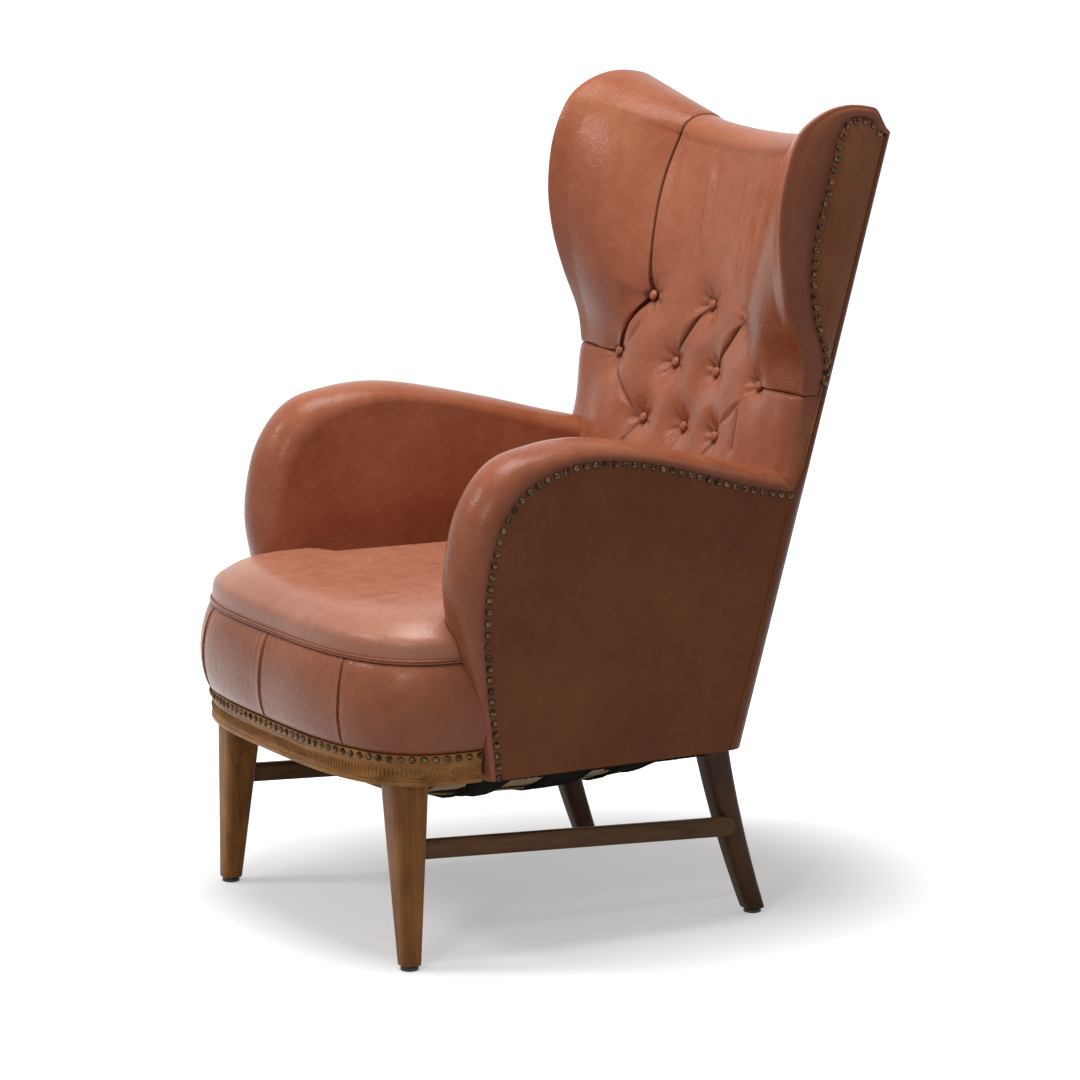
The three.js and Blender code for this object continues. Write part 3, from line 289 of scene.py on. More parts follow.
hands = (("left", 1), ("right", -1))
foot_places = {"front": (0.264, -0.3193), "rear": (0.224, 0.2177)}
front_top = (0.241, -0.3133)
front_widths, rear_widths = (0.026, 0.053), (0.028, 0.040)
glide_top, leg_foot, leg_top = 0.006, 0.0063, 0.2417
leg_rise = leg_top - glide_top
sweep_at_foot, sweep_lost = 0.37, 0.164


def front_leg_at(share):
    x, y = (between(low, high, share) for low, high in zip(foot_places["front"], front_top))
    return x, y, between(leg_foot, leg_top, share)


def rear_leg_at(share):
    x, y = foot_places["rear"]
    rise = share * leg_rise
    sweep = sweep_at_foot * rise - sweep_lost / (2 * leg_rise) * rise ** 2
    return x, y - sweep, between(leg_foot, leg_top, share)


def turn_leg(name, side, leg_at, widths, material):
    rings = []
    for share in (0, 0.006, 0.02, *(k / 12 for k in range(1, 13))):
        x, y, z = leg_at(share)
        width = between(*widths, share) - (0.0015 if share == 0 else 0)
        rings.append(leg_ring(side * x, y, z, width))
    leg = skin_rings(name, rings, material)
    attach(leg, "root")
    return leg


for hand, side in hands:
    front_leg = turn_leg(f"tapered_front_leg_{hand}", side, front_leg_at, front_widths, honey_upright)
    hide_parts(f"front_leg_{hand}")
    rear_leg = turn_leg(f"swept_rear_leg_{hand}", side, rear_leg_at, rear_widths, dark_upright)
    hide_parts(f"rear_leg_{hand}")


# Glides: pressed steel domes with black enamel, nailed under each foot.
def make_tarnish():
    group, given, spot = make_group("tarnish", Metal=(0.3, 0.2, 0.1, 1), Dull=(0.05, 0.03, 0.02, 1),
                                    Polish=0.3)
    patches = noise(group, spot, Scale=160.0, Detail=3.0, Roughness=0.6)
    scratches = noise(group, spot, Scale=900.0, Detail=2.0)
    colour = colour_between(group, respread(group, patches, 0.4, 0.62), given["Dull"], given["Metal"])
    rough = worked_out(group, "MULTIPLY_ADD", patches, 0.25, given["Polish"])
    return put_out(group, colour, rough, scratches)


tarnish = make_tarnish()
black_enamel = surface("worn_black_enamel", tarnish, {
    "Metal": (0.02, 0.019, 0.018, 1), "Dull": (0.006, 0.006, 0.006, 1), "Polish": 0.3}, 0.0001)
glide_profile = [(0.0106, 0.0), (0.0117, 0.0006), (0.012, 0.002), (0.0116, 0.0044), (0.010, 0.0056),
                 (0.006, glide_top)]


def around(count):
    return [(math.cos(math.tau * k / count), math.sin(math.tau * k / count)) for k in range(count)]


for hand, side in hands:
    for end, (x, y) in foot_places.items():
        rings = [[Vector((side * x + radius * across, y + radius * back, z)) for across, back in around(28)]
                 for radius, z in glide_profile]
        dome = skin_rings(f"glide_dome_{end}_{hand}", rings, black_enamel)
        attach(dome, "root")
        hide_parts(f"{end}_glide_{hand}")


# Side stretchers: dark beech bars tenoned into the front legs and screwed, with a rounded end,
# on the outside of the swept rear legs.
dark_lengthwise = stained("dark_beech_bar", (0.05, 0.021, 0.009), (0.17, 0.078, 0.032), (55, 5, 55))
bar_tip, bar_half_height, bar_half_width = 0.1707, 0.013, 0.007


def shape_stretcher(hand, side):
    front_share = (0.165 - glide_top) / leg_rise
    start = front_leg_at(front_share)[1] + between(*front_widths, front_share) / 2 + 0.0003
    round_start = bar_tip - bar_half_height
    stations = [between(start, round_start, k / 10) for k in range(11)]
    stations += [round_start + bar_half_height * math.sin(math.pi / 2 * k / 9) for k in range(1, 9)]
    rings = []
    for y in stations:
        share = (y - start) / (bar_tip - start)
        x, z = between(0.250, 0.2485, share), between(0.152, 0.128, share)
        half_height = bar_half_height * rounded_off((y - bar_tip + bar_half_height) / bar_half_height)
        ring = []
        for k in range(28):
            across, up = squared_round(math.tau * k / 28)
            ring.append(Vector((side * (x + bar_half_width * across), y, z + half_height * up)))
        rings.append(ring)
    return skin_rings(f"side_bar_{hand}", rings, dark_lengthwise)


for hand, side in hands:
    bar = shape_stretcher(hand, side)
    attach(bar, "root")
    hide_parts(f"side_stretcher_{hand}")


# Hidden frame: bare sawn beech rails, posts and corner blocks, and the plywood boards of the ears.
hidden_frame = {
    ("upright", (70, 70, 6)): ("rear_post_left", "rear_post_right", "arm_post_left", "arm_post_right",
                               "wing_board_left", "wing_board_right", "front_block_left",
                               "front_block_right", "rear_block_left", "rear_block_right"),
    ("crosswise", (6, 70, 70)): ("rear_rail", "lower_back_rail", "crest_rail"),
    ("lengthwise", (70, 6, 70)): ("side_rail_left", "side_rail_right", "arm_rail_left", "arm_rail_right"),
}
for (lie, stretch), names in hidden_frame.items():
    sawn = stained(f"bare_beech_{lie}", (0.34, 0.18, 0.075), (0.58, 0.35, 0.17), stretch)
    for name in names:
        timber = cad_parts[name]
        timber.data.materials.clear()
        timber.data.materials.append(sawn)


# Webbing: nine strips of jute interlaced under the seat, tacked to the rails and slack with age.
def sew(name, front, back, material, sharp=50, creases=None):
    rows, wide, deep = len(front), len(front[0]), len(back[0])
    points = [p for row in front for p in row] + [p for row in back for p in row]
    behind = rows * wide
    faces = []
    for j in range(rows - 1):
        for i in range(wide - 1):
            a = j * wide + i
            faces.append((a, a + 1, a + wide + 1, a + wide))
        for i in range(deep - 1):
            a = behind + j * deep + i
            faces.append((a, a + deep, a + deep + 1, a + 1))
        f, b = j * wide, behind + j * deep
        faces.append((f, f + wide, b + deep, b))
        f, b = f + wide - 1, b + deep - 1
        faces.append((f, b, b + deep, f + wide))
    top = (rows - 1) * wide
    top_behind = behind + (rows - 1) * deep
    if wide == deep:
        for i in range(wide - 1):
            faces.append((i, behind + i, behind + i + 1, i + 1))
            faces.append((top + i, top + i + 1, top_behind + i + 1, top_behind + i))
    else:
        faces.append((*range(wide - 1, -1, -1), *range(behind, behind + deep)))
        faces.append((*range(top, top + wide), *range(top_behind + deep - 1, top_behind - 1, -1)))
    return make_object(name, points, faces, material, sharp, creases)


def join_pieces(name, pieces):
    bpy.ops.object.select_all(action="DESELECT")
    for piece in pieces:
        piece.select_set(True)
    bpy.context.view_layer.objects.active = pieces[0]
    bpy.ops.object.join()
    pieces[0].name = name
    return pieces[0]


def make_weave():
    group, given, spot = make_group("plain_weave", Thread=(0.5, 0.37, 0.2, 1), Shade=(0.2, 0.13, 0.07, 1),
                                    Count=500.0)
    split = set_node(group, "ShaderNodeSeparateXYZ", {0: spot}).outputs
    waves = [worked_out(group, "SINE", worked_out(group, "MULTIPLY", split[axis], given["Count"]))
             for axis in (0, 1)]
    cloth = worked_out(group, "MULTIPLY", *waves)
    dirt = noise(group, spot, Scale=30.0, Detail=4.0, Roughness=0.7)
    share = respread(group, worked_out(group, "MULTIPLY_ADD", cloth, 0.25, dirt), 0.2, 0.75)
    colour = colour_between(group, share, given["Shade"], given["Thread"])
    return put_out(group, colour, respread(group, dirt, start=0.85, end=1.0), cloth)


plain_weave = make_weave()


def woven(name, thread, shade, count, relief, **shader):
    return surface(name, plain_weave, {"Thread": (*thread, 1), "Shade": (*shade, 1), "Count": count}, relief,
                   **shader)


jute = woven("old_jute", (0.62, 0.48, 0.3), (0.27, 0.18, 0.1), 1600.0, 0.0004)
seat_base = 0.242
web_front, web_rear, web_side, web_sag = -0.3523, 0.1377, 0.262, 0.047


def web_dip(x, y):
    along = 1 - abs(2 * held((y - web_front) / (web_rear - web_front)) - 1) ** 3
    return seat_base - 0.0003 - web_sag * max(0.0, 1 - (x / web_side) ** 4) * along


def web_strip(name, at):
    rows = [k / 40 for k in range(41)]
    ways = [k / 6 * 2 - 1 for k in range(7)]
    top = [[Vector(at(share, way, 0)) for way in ways] for share in rows]
    under = [[Vector(at(share, way, 0.002)) for way in ways] for share in rows]
    return sew(name, top, under, jute)


strips = []
for n, place in enumerate((-0.6, -0.2, 0.2, 0.6)):
    def lengthwise(share, way, drop, x=place * web_side, n=n):
        y = between(web_front, web_rear, share)
        ripple = 0.0012 * math.sin(31 * share + 2 * n)
        weave = 0.0012 * math.cos(math.pi * (share - 0.2) / 0.16 + math.pi * n)
        return x + way * 0.025 + ripple, y, web_dip(x, y) - drop + min(0, weave) - 0.001 * way * way
    strips.append(web_strip(f"jute_lengthwise_{n}", lengthwise))
for n, place in enumerate((-0.250, -0.140, -0.030, 0.058, 0.104)):
    def crosswise(share, way, drop, y=place, n=n):
        x = between(-web_side, web_side, share)
        ripple = 0.0012 * math.sin(27 * share + 3 * n)
        return x, y + way * 0.028 + ripple, web_dip(x, y) - drop - 0.0015 - 0.001 * way * way
    strips.append(web_strip(f"jute_crosswise_{n}", crosswise))
webbing = join_pieces("jute_net", strips)
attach(webbing, "root")
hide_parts("seat_webbing")


# Dust cover: thin black cloth tacked under the side rails, rotted and torn away in the middle, so
# that only ragged flaps still hang beside the webbing.
black_cloth = woven("black_dust_cloth", (0.02, 0.017, 0.014), (0.006, 0.005, 0.004), 2600.0, 0.0002,
                    Specular_IOR_Level=0.05)
rag_places = ((-0.216, -0.168), (-0.110, -0.048), (-0.006, 0.044))


def ragged(y, seed):
    slow = math.sin(61 * y + seed) + 0.6 * math.sin(143 * y + 2 * seed)
    quick = math.sin(701 * y + 3 * seed) * math.sin(1319 * y + seed)
    return 0.007 * slow + 0.006 * quick


def torn_reach(y):
    whole = 0.0
    for start, end in rag_places:
        whole = max(whole, eased((y - start) / 0.006) * eased((end - y) / 0.006))
    return 0.010 + 0.150 * whole * (1 + ragged(y, 2) * 14)


def hang_dust_cover(hand, side):
    tacked_x, thickness = 0.268, 0.0006
    upper, under, area = [], [], 0.0
    for j in range(421):
        y = between(-0.232, 0.118, j / 420)
        reach = max(0.006, torn_reach(y) + ragged(y, 1 + side))
        row = []
        for k in range(25):
            share = k / 24
            x = tacked_x - reach * share
            slack = 0.0022 * hump(share) + 0.0016 * math.sin(38 * y + 9 * share)
            droop = 0.006 * share ** 3 * eased((reach - 0.03) / 0.1)
            z = web_dip(min(x, web_side), y) - 0.0062 - slack * eased(share / 0.1) - droop
            row.append(Vector((side * x, y, z)))
        upper.append(row)
        under.append([p - Vector((0, 0, thickness)) for p in row])
    for lower, higher in zip(upper, upper[1:]):
        for k in range(24):
            area += (lower[k + 1] - lower[k]).cross(higher[k] - lower[k]).length
    cover = sew(f"torn_dust_cover_{hand}", upper, under, black_cloth)
    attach(cover, "root")


for hand, side in hands:
    hang_dust_cover(hand, side)


# Show-wood apron: a bow-fronted rail with a bead along each edge and a carved frieze of small
# upright leaves between them. The leather of the seat ends on it under a row of nails.
bow_half_width, bow_depth, bow_start_y = 0.296, 0.158, -0.2303


def bow_at(turn, grow):
    across, ahead = squared_round(turn, 2 / 3.2)
    return (bow_half_width + grow) * across, bow_start_y - (bow_depth + grow) * ahead


def even_bow_turns(count):
    fine = [math.pi * k / 4000 for k in range(4001)]
    places = np.array([bow_at(turn, 0) for turn in fine])
    run = np.concatenate([[0], np.cumsum(np.hypot(*np.diff(places, axis=0).T))])
    return [float(np.interp(run[-1] * k / count, run, fine)) for k in range(count + 1)], float(run[-1])


def bow_outward(turn):
    x, y = bow_at(turn, 0)
    ax, ay = bow_at(turn + 0.001, 0)
    along = Vector((ax - x, ay - y, 0)).normalized()
    return Vector((-along.y, along.x, 0)) * -1


bow_turns, bow_length = even_bow_turns(260)
honey_bow = stained("honey_beech_bow", (0.15, 0.055, 0.014), (0.52, 0.24, 0.07), (9, 30, 75))
apron_profile = (
    (-0.0020, 0.2420), (-0.0006, 0.2424), (0.0, 0.2436), (0.0, 0.2470), (-0.0006, 0.2480), (-0.0018, 0.2484),
    (-0.0018, 0.2500), (-0.0008, 0.2506), (-0.0008, 0.2516), (-0.0022, 0.2522), (-0.0024, 0.2660),
    (-0.0022, 0.2672), (-0.0008, 0.2676), (-0.0004, 0.2690), (-0.0010, 0.2702), (0.0, 0.2708),
    (0.0, 0.2820), (-0.0008, 0.2830),
)
apron_face = [[Vector((*bow_at(turn, grow), z)) for turn in bow_turns] for grow, z in apron_profile]
apron_rear = [[Vector((*bow_at(turn, -0.024), z)) for turn in bow_turns] for _, z in apron_profile]
apron = sew("bow_apron", apron_face, apron_rear, honey_bow, sharp=35)
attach(apron, "root")
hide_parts("front_apron")


def line_mesh(name, places, outwards):
    mesh = bpy.data.meshes.new(name)
    mesh.from_pydata([tuple(p) for p in places], [(k, k + 1) for k in range(len(places) - 1)], [])
    facing = mesh.attributes.new("outward", "FLOAT_VECTOR", "POINT")
    facing.data.foreach_set("vector", [c for v in outwards for c in v])
    piece = bpy.data.objects.new(name, mesh)
    bpy.context.scene.collection.objects.link(piece)
    return piece


def make_row_tree():
    tree = bpy.data.node_groups.new("row_of_pieces", "GeometryNodeTree")

    def made(kind, links, **settings):
        return set_node(tree, kind, links, **settings).outputs[0]

    wanted = {}
    for label, kind in (("Geometry", "Geometry"), ("Pitch", "Float"), ("Size", "Vector"),
                        ("Unevenness", "Float"), ("Seed", "Int"), ("Finish", "Material")):
        socket = tree.interface.new_socket(label, in_out="INPUT", socket_type=f"NodeSocket{kind}")
        wanted[label] = socket.identifier
    tree.interface.new_socket("Geometry", in_out="OUTPUT", socket_type="NodeSocketGeometry")
    given = tree.nodes.new("NodeGroupInput").outputs
    line = made("GeometryNodeMeshToCurve", {"Mesh": given["Geometry"]})
    spaced = made("GeometryNodeResampleCurve", {"Curve": line, "Length": given["Pitch"]}, mode="LENGTH")
    outward = set_node(tree, "GeometryNodeInputNamedAttribute", {"Name": "outward"},
                       data_type="FLOAT_VECTOR").outputs["Attribute"]
    turned = made("FunctionNodeAlignRotationToVector", {"Vector": outward}, axis="Z")
    along = made("GeometryNodeInputTangent", {})
    squared = made("FunctionNodeAlignRotationToVector", {"Rotation": turned, "Vector": along}, axis="X",
                   pivot_axis="Z")
    dome = made("GeometryNodeMeshUVSphere", {"Segments": 10, "Rings": 6, "Radius": 1.0})
    smooth = made("GeometryNodeSetShadeSmooth", {"Geometry": dome})
    sized = made("GeometryNodeTransform", {"Geometry": smooth, "Scale": given["Size"]})
    least = worked_out(tree, "SUBTRACT", 1.0, given["Unevenness"])
    vary = set_node(tree, "FunctionNodeRandomValue", {2: least, 3: 1.0, "Seed": given["Seed"]},
                    data_type="FLOAT").outputs[1]
    row = made("GeometryNodeInstanceOnPoints",
               {"Points": spaced, "Instance": sized, "Rotation": squared, "Scale": vary})
    solid = made("GeometryNodeRealizeInstances", {"Geometry": row})
    coated = made("GeometryNodeSetMaterial", {"Geometry": solid, "Material": given["Finish"]})
    tree.links.new(coated, tree.nodes.new("NodeGroupOutput").inputs["Geometry"])
    return tree, wanted


row_tree, row_inputs = make_row_tree()


def set_row(name, places, outwards, pitch, size, unevenness, seed, material):
    line = line_mesh(name, places, outwards)
    step = line.modifiers.new("row", "NODES")
    step.node_group = row_tree
    for label, value in (("Pitch", pitch), ("Size", size), ("Unevenness", unevenness), ("Seed", seed),
                         ("Finish", material)):
        step[row_inputs[label]] = value
    made = bpy.data.meshes.new_from_object(line.evaluated_get(bpy.context.evaluated_depsgraph_get()))
    line.modifiers.clear()
    line.data = made
    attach(line, "root")
    return line


def bow_row(grow, z):
    turns = bow_turns[1:-1]
    return [Vector((*bow_at(turn, grow), z)) for turn in turns], [bow_outward(turn) for turn in turns]


places, outwards = bow_row(-0.0030, 0.2591)
frieze = set_row("leaf_frieze", places, outwards, 0.0058, (0.0019, 0.0067, 0.0036), 0.08, 3, honey_bow)


# Arms: stuffed pads over a sloping rail, covered in one piece of leather that runs up the inner
# face, over the top roll and down to the row of nails on the outside.
def follow(knots, values, at):
    k = min(max(int(np.searchsorted(knots, at, side="right")) - 1, 0), len(knots) - 2)
    width = knots[k + 1] - knots[k]
    share = held((at - knots[k]) / width)
    slopes = []
    for n in (k, k + 1):
        low, high = max(n - 1, 0), min(n + 1, len(knots) - 1)
        slopes.append((values[high] - values[low]) / (knots[high] - knots[low]) * width)
    first = values[k]
    rise = values[k + 1] - first
    return (first + slopes[0] * share + (3 * rise - 2 * slopes[0] - slopes[1]) * share ** 2
            + (slopes[0] + slopes[1] - 2 * rise) * share ** 3)


def bent_batten(points):
    points = [Vector(p) for p in points]

    def at(t):
        place = held(t) * (len(points) - 1)
        k = min(int(place), len(points) - 2)
        share = place - k
        b, c = points[k], points[k + 1]
        a = points[k - 1] if k > 0 else b * 2 - c
        d = points[k + 2] if k + 2 < len(points) else c * 2 - b
        before, here, after = (math.sqrt((q - p).length) for p, q in ((a, b), (b, c), (c, d)))
        leave = ((b - a) / before - (c - a) / (before + here) + (c - b) / here) * here
        reach = ((c - b) / here - (d - b) / (here + after) + (d - c) / after) * here
        return (b + leave * share + ((c - b) * 3 - leave * 2 - reach) * share ** 2
                + ((b - c) * 2 + leave + reach) * share ** 3)
    return at


def heading(at, t):
    return (at(t + 0.0005) - at(t - 0.0005)).normalized()


rake = math.tan(math.radians(15.46))
crest, ear_top, waist = 1.031, 1.080, 0.702
rear_base_y, rear_half_width = 0.1567, 0.292
arm_front_y, arm_run, arm_rise = -0.2413, 0.398, 0.404
base_half_width, arm_flare = 0.300, 0.035
arm_rear_gap = 0.021


def rear_line(z):
    return rear_base_y + rake * (z - seat_base)


def side_x(y, z):
    back = held((y - arm_front_y) / (rear_line(z) - arm_front_y))
    lean = math.sin(math.pi / 2 * held((z - seat_base) / arm_rise))
    return between(base_half_width + arm_flare * lean, rear_half_width, back)


def arm_inner_x(y):
    return between(0.245, 0.225, held((y - arm_front_y) / arm_run))


arm_nail_shares = (
    (0.064, 0), (0.045, 0.139), (0.019, 0.304), (0.002, 0.473), (0, 0.601), (0.013, 0.713), (0.049, 0.837),
    (0.115, 0.928), (0.199, 0.975), (0.297, 1), (0.395, 0.998), (0.528, 0.975), (0.694, 0.923),
    (0.863, 0.864), (1, 0.829),
)
arm_roll_shares = (0.24, 0.31, 0.43, 0.6, 0.81, 0.9, 0.98, 1, 0.79, 0.64, 0.57, 0.5, 0.56, 0.62, 0.6)
arm_rear_z = seat_base + 0.829 * arm_rise
arm_length = rear_line(arm_rear_z) - arm_rear_gap - arm_front_y
arm_nail_line = bent_batten([(0, arm_front_y + along * arm_length, seat_base + up * arm_rise)
                             for along, up in arm_nail_shares])
roll_knots = [k / 14 for k in range(15)]


def arm_station(t):
    nail = arm_nail_line(t)
    along = heading(arm_nail_line, t)
    tip = 0.55 + 0.45 * rounded_off((t - 0.982) / 0.018)
    return nail, Vector((0, -along.z, along.y)), 0.042 * tip * follow(roll_knots, arm_roll_shares, t)


def arm_hub(t):
    rise, back = held(t / 0.12), held((t - 0.12) / 0.88)
    rear_y = rear_line(0.283) - arm_rear_gap
    return Vector((0, between(-0.2093, rear_y, back), between(seat_base, 0.2836, rise)))


face_part = 0.45


def arm_cover(u, t, tuck=0.0, roll_share=1.0, grown=0.0):
    nail, out, roll = arm_station(t)
    if u <= face_part:
        share = u / face_part
        place = arm_hub(t).lerp(nail, share)
        padded = 0.008 * hump(share) * eased((place.z - 0.45) / 0.07) * eased((0.97 - t) / 0.1)
        place.x = arm_inner_x(place.y) + tuck - (0 if tuck else padded) - grown
        return place
    share = (u - face_part) / 0.55
    outer = side_x(nail.y, nail.z) - tuck
    inner = arm_inner_x(nail.y) + tuck - grown
    place = nail + out * (roll * roll_share * hump(share) + grown)
    place.x = between(inner, outer, (1 - math.cos(math.pi * share)) / 2)
    if not tuck and share > 0.5:
        place.x += 0.0036 * hump(2 * share - 1) ** 0.8 * eased(t / 0.1)
    return place


def make_aged_hide():
    group, given, spot = make_group("aged_hide", Tone=(0.28, 0.09, 0.05, 1), Faded=(0.36, 0.15, 0.09, 1),
                                    Grime=(0.05, 0.018, 0.01, 1), Polish=0.36)
    cloud = noise(group, spot, Scale=5.5, Detail=5.0, Roughness=0.62)
    mottle = noise(group, spot, Scale=46.0, Detail=4.0, Roughness=0.65)
    wrinkle = noise(group, spot, Scale=95.0, Detail=5.0, Roughness=0.6, Distortion=0.8)
    swell = noise(group, spot, Scale=17.0, Detail=3.0, Roughness=0.55)
    pebble = set_node(group, "ShaderNodeTexVoronoi", {"Vector": spot, "Scale": 330.0}, feature="F1")
    share = respread(group, worked_out(group, "MULTIPLY_ADD", mottle, 0.45, cloud), 0.52, 0.92)
    tone = colour_between(group, share, given["Tone"], given["Faded"])
    # Painted shade: where the point attribute marks folds, seams, tucks and button wells, the tone is
    # darkened toward the leather's dark shade colour and made rougher.
    crease_shade_mask = set_node(group, "ShaderNodeAttribute", attribute_name="crease_shade").outputs["Fac"]
    colour = colour_between(group, worked_out(group, "MULTIPLY", crease_shade_mask, 0.88), tone, given["Grime"])
    rubbed = worked_out(group, "MULTIPLY_ADD", mottle, 0.3, given["Polish"])
    rough = worked_out(group, "MULTIPLY_ADD", crease_shade_mask, 0.35, rubbed)
    grain = worked_out(group, "MULTIPLY_ADD", pebble.outputs["Distance"], 0.22, wrinkle)
    return put_out(group, colour, rough, worked_out(group, "MULTIPLY_ADD", swell, 1.6, grain))


aged_hide = make_aged_hide()


# The third colour is the painted shade colour for folds, seams, tucks and button wells.
def leather(name, tone, faded, painted_shade_colour, polish, shine, relief=0.0010):
    values = {"Tone": (*tone, 1), "Faded": (*faded, 1), "Grime": (*painted_shade_colour, 1), "Polish": polish}
    return surface(name, aged_hide, values, relief, Specular_IOR_Level=shine)


tan_leather = leather("tan_leather", (0.245, 0.066, 0.028), (0.335, 0.112, 0.056), (0.03, 0.008, 0.004),
                      polish=0.11, shine=0.16)
# A lighter, paler copy of the tan leather for the seat, painting in the sheen of the top light on the seat
# top.
sheen_painted_seat_leather = leather("sheen_lit_seat_leather", (0.33, 0.118, 0.066), (0.42, 0.175, 0.108), (0.04, 0.012, 0.006),
                       polish=0.17, shine=0.3, relief=0.0009)
# Brown leather of the outer side and rear panels: partly their own darker leather, partly painted shade,
# darker than the tan.
brown_leather = leather("brown_leather", (0.14, 0.037, 0.011), (0.215, 0.070, 0.024), (0.02, 0.007, 0.004),
                        polish=0.26, shine=0.12)
# A lighter copy of the brown leather for the ear panels, painting in the brighter light they catch.
lit_ear_leather = leather("lit_copy_brown_leather", (0.24, 0.078, 0.028), (0.34, 0.13, 0.058),
                         (0.02, 0.007, 0.004), polish=0.26, shine=0.12)


def mirrored(places, side):
    return [Vector((side * p.x, p.y, p.z)) for p in places]


def sew_side(name, side, front, back, material, **finish):
    front, back = ([mirrored(row, side) for row in rows] for rows in (front, back))
    return sew(name, front, back, material, **finish)


arm_us = [face_part * k / 26 for k in range(26)] + [face_part + 0.55 * k / 40 for k in range(41)]
arm_ts = [k / 190 for k in range(191)]
arm_face = [[arm_cover(u, t) for u in arm_us] for t in arm_ts]
arm_lining = [[arm_cover(u, t, 0.014, 0.3) for u in arm_us] for t in arm_ts]
# Painted shade: darker along the edge of the roll where it tucks in to the nail line.
arm_creases = [0.55 * math.exp(-(((1 - u) / 0.55 * 0.07 / 0.0035) ** 2)) if u > 0.9 else 0
               for t in arm_ts for u in arm_us]
for hand, side in hands:
    pad = sew_side(f"arm_cover_{hand}", side, arm_face, arm_lining, tan_leather, creases=arm_creases)
    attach(pad, "root")
    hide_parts(f"arm_pad_{hand}")


# Outer side panels: thin brown leather on a stiff backing, inside the arms' nail line and down to
# the seat base, turned in at the rear corner where the panel of the back begins.
def corner_wrap(z):
    return between(0.018, 0.007, eased((z - 0.545) / 0.06))


def inside_arm_nails(t):
    nail, out, _ = arm_station(t)
    return nail - out * 0.0003


def side_panel_rows():
    rows_up, rows_over = 104, 26
    count = rows_up + rows_over
    behind_share = 17 / 26
    fronts = [inside_arm_nails(behind_share * k / count) for k in range(count + 1)]
    rears = []
    for k in range(rows_up):
        z = between(seat_base, arm_rear_z, k / rows_up)
        rears.append(Vector((0, rear_line(z) - corner_wrap(z) - 0.0008, z)))
    rears += [inside_arm_nails(between(1, behind_share, k / rows_over)) for k in range(rows_over + 1)]
    return fronts, rears


def side_skin(depth):
    rows = []
    for front, rear in zip(*side_panel_rows()):
        row = []
        for k in range(41):
            place = front.lerp(rear, k / 40)
            place.x = side_x(place.y, place.z) - depth
            row.append(place)
        rows.append(row)
    return rows


for hand, side in hands:
    panel = sew_side(f"side_hide_{hand}", side, side_skin(0), side_skin(0.003), brown_leather)
    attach(panel, "root")
    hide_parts(f"side_panel_{hand}")


# Seat: a stuffed platform on the webbing, a pleated front band nailed to the apron, and a crowned
# cover sewn to the band with a double piping. All three end against the arms.
def arm_space(side):
    us = [u for u in arm_us if u <= 0.93][::2]
    rows = [[arm_cover(u, t, grown=0.0006) for u in us] for t in arm_ts[::3]]
    rows.append([p + Vector((0, 0.002, 0)) for p in rows[-1]])
    outer = []
    for row in rows:
        fan = [row[0].lerp(row[-1], k / (len(row) - 1)) for k in range(len(row))]
        outer.append([Vector((0.42, p.y, p.z)) for p in fan])
    return sew_side("arm_space", side, rows, outer, brown_leather)


def trim_to_arms(piece, sharp=50):
    cutters = [arm_space(side) for _, side in hands]
    for cutter in cutters:
        step = piece.modifiers.new("arm", "BOOLEAN")
        step.operation = "DIFFERENCE"
        step.solver = "MANIFOLD"
        step.object = cutter
    made = bpy.data.meshes.new_from_object(piece.evaluated_get(bpy.context.evaluated_depsgraph_get()))
    piece.modifiers.clear()
    piece.data = made
    for cutter in cutters:
        bpy.data.objects.remove(cutter)
    made.shade_smooth()
    made.set_sharp_from_angle(angle=math.radians(sharp))


def seat_outline(grow, side_gap, rear_y, fine=150):
    turns, _ = even_bow_turns(fine)
    front = [bow_at(turn, grow) for turn in turns]
    run = [between(bow_start_y, rear_y, k / 60) for k in range(1, 61)]
    left = [(arm_inner_x(y) - side_gap, y) for y in run]
    right = [(-x, y) for x, y in left]
    back = [(right[-1][0] + 2 * left[-1][0] * k / 50, rear_y) for k in range(1, 50)]
    return front + right + back + left[::-1]


def dome_over(name, outline, hub, levels, height_at, material):
    rings = []
    for share, level in levels:
        ring = []
        for x, y in outline:
            place = Vector((between(hub[0], x, share), between(hub[1], y, share), 0))
            place.z = height_at(share, level, place)
            ring.append(place)
        rings.append(ring)
    return skin_rings(name, rings, material)


calico = woven("unbleached_calico", (0.6, 0.5, 0.34), (0.4, 0.31, 0.2), 3000.0, 0.0003)
seat_hub = (0, -0.1513)
platform_levels = [(0.97, 0.2836), (0.99, 0.2850), (1.0, 0.290), (1.0, 0.340), (1.0, 0.395), (0.99, 0.4005),
                   (0.97, 0.4024)]
platform = dome_over("stuffed_platform", seat_outline(-0.0266, 0.0006, 0.1317), seat_hub, platform_levels,
                     lambda share, level, place: level, calico)
trim_to_arms(platform)
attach(platform, "root")
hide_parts("seat_platform")

band_foot_z, seam_z = 0.2833, 0.403
fine_turns, _ = even_bow_turns(620)
fine_runs = [bow_length * k / 620 for k in range(621)]
pleat_runs = [float(np.interp(math.pi * share, fine_turns, fine_runs)) for share in (1 / 3, 1 / 2, 2 / 3)]


def band_swell(share):
    return 0.015 * hump(share) ** 0.6 - 0.004 * share


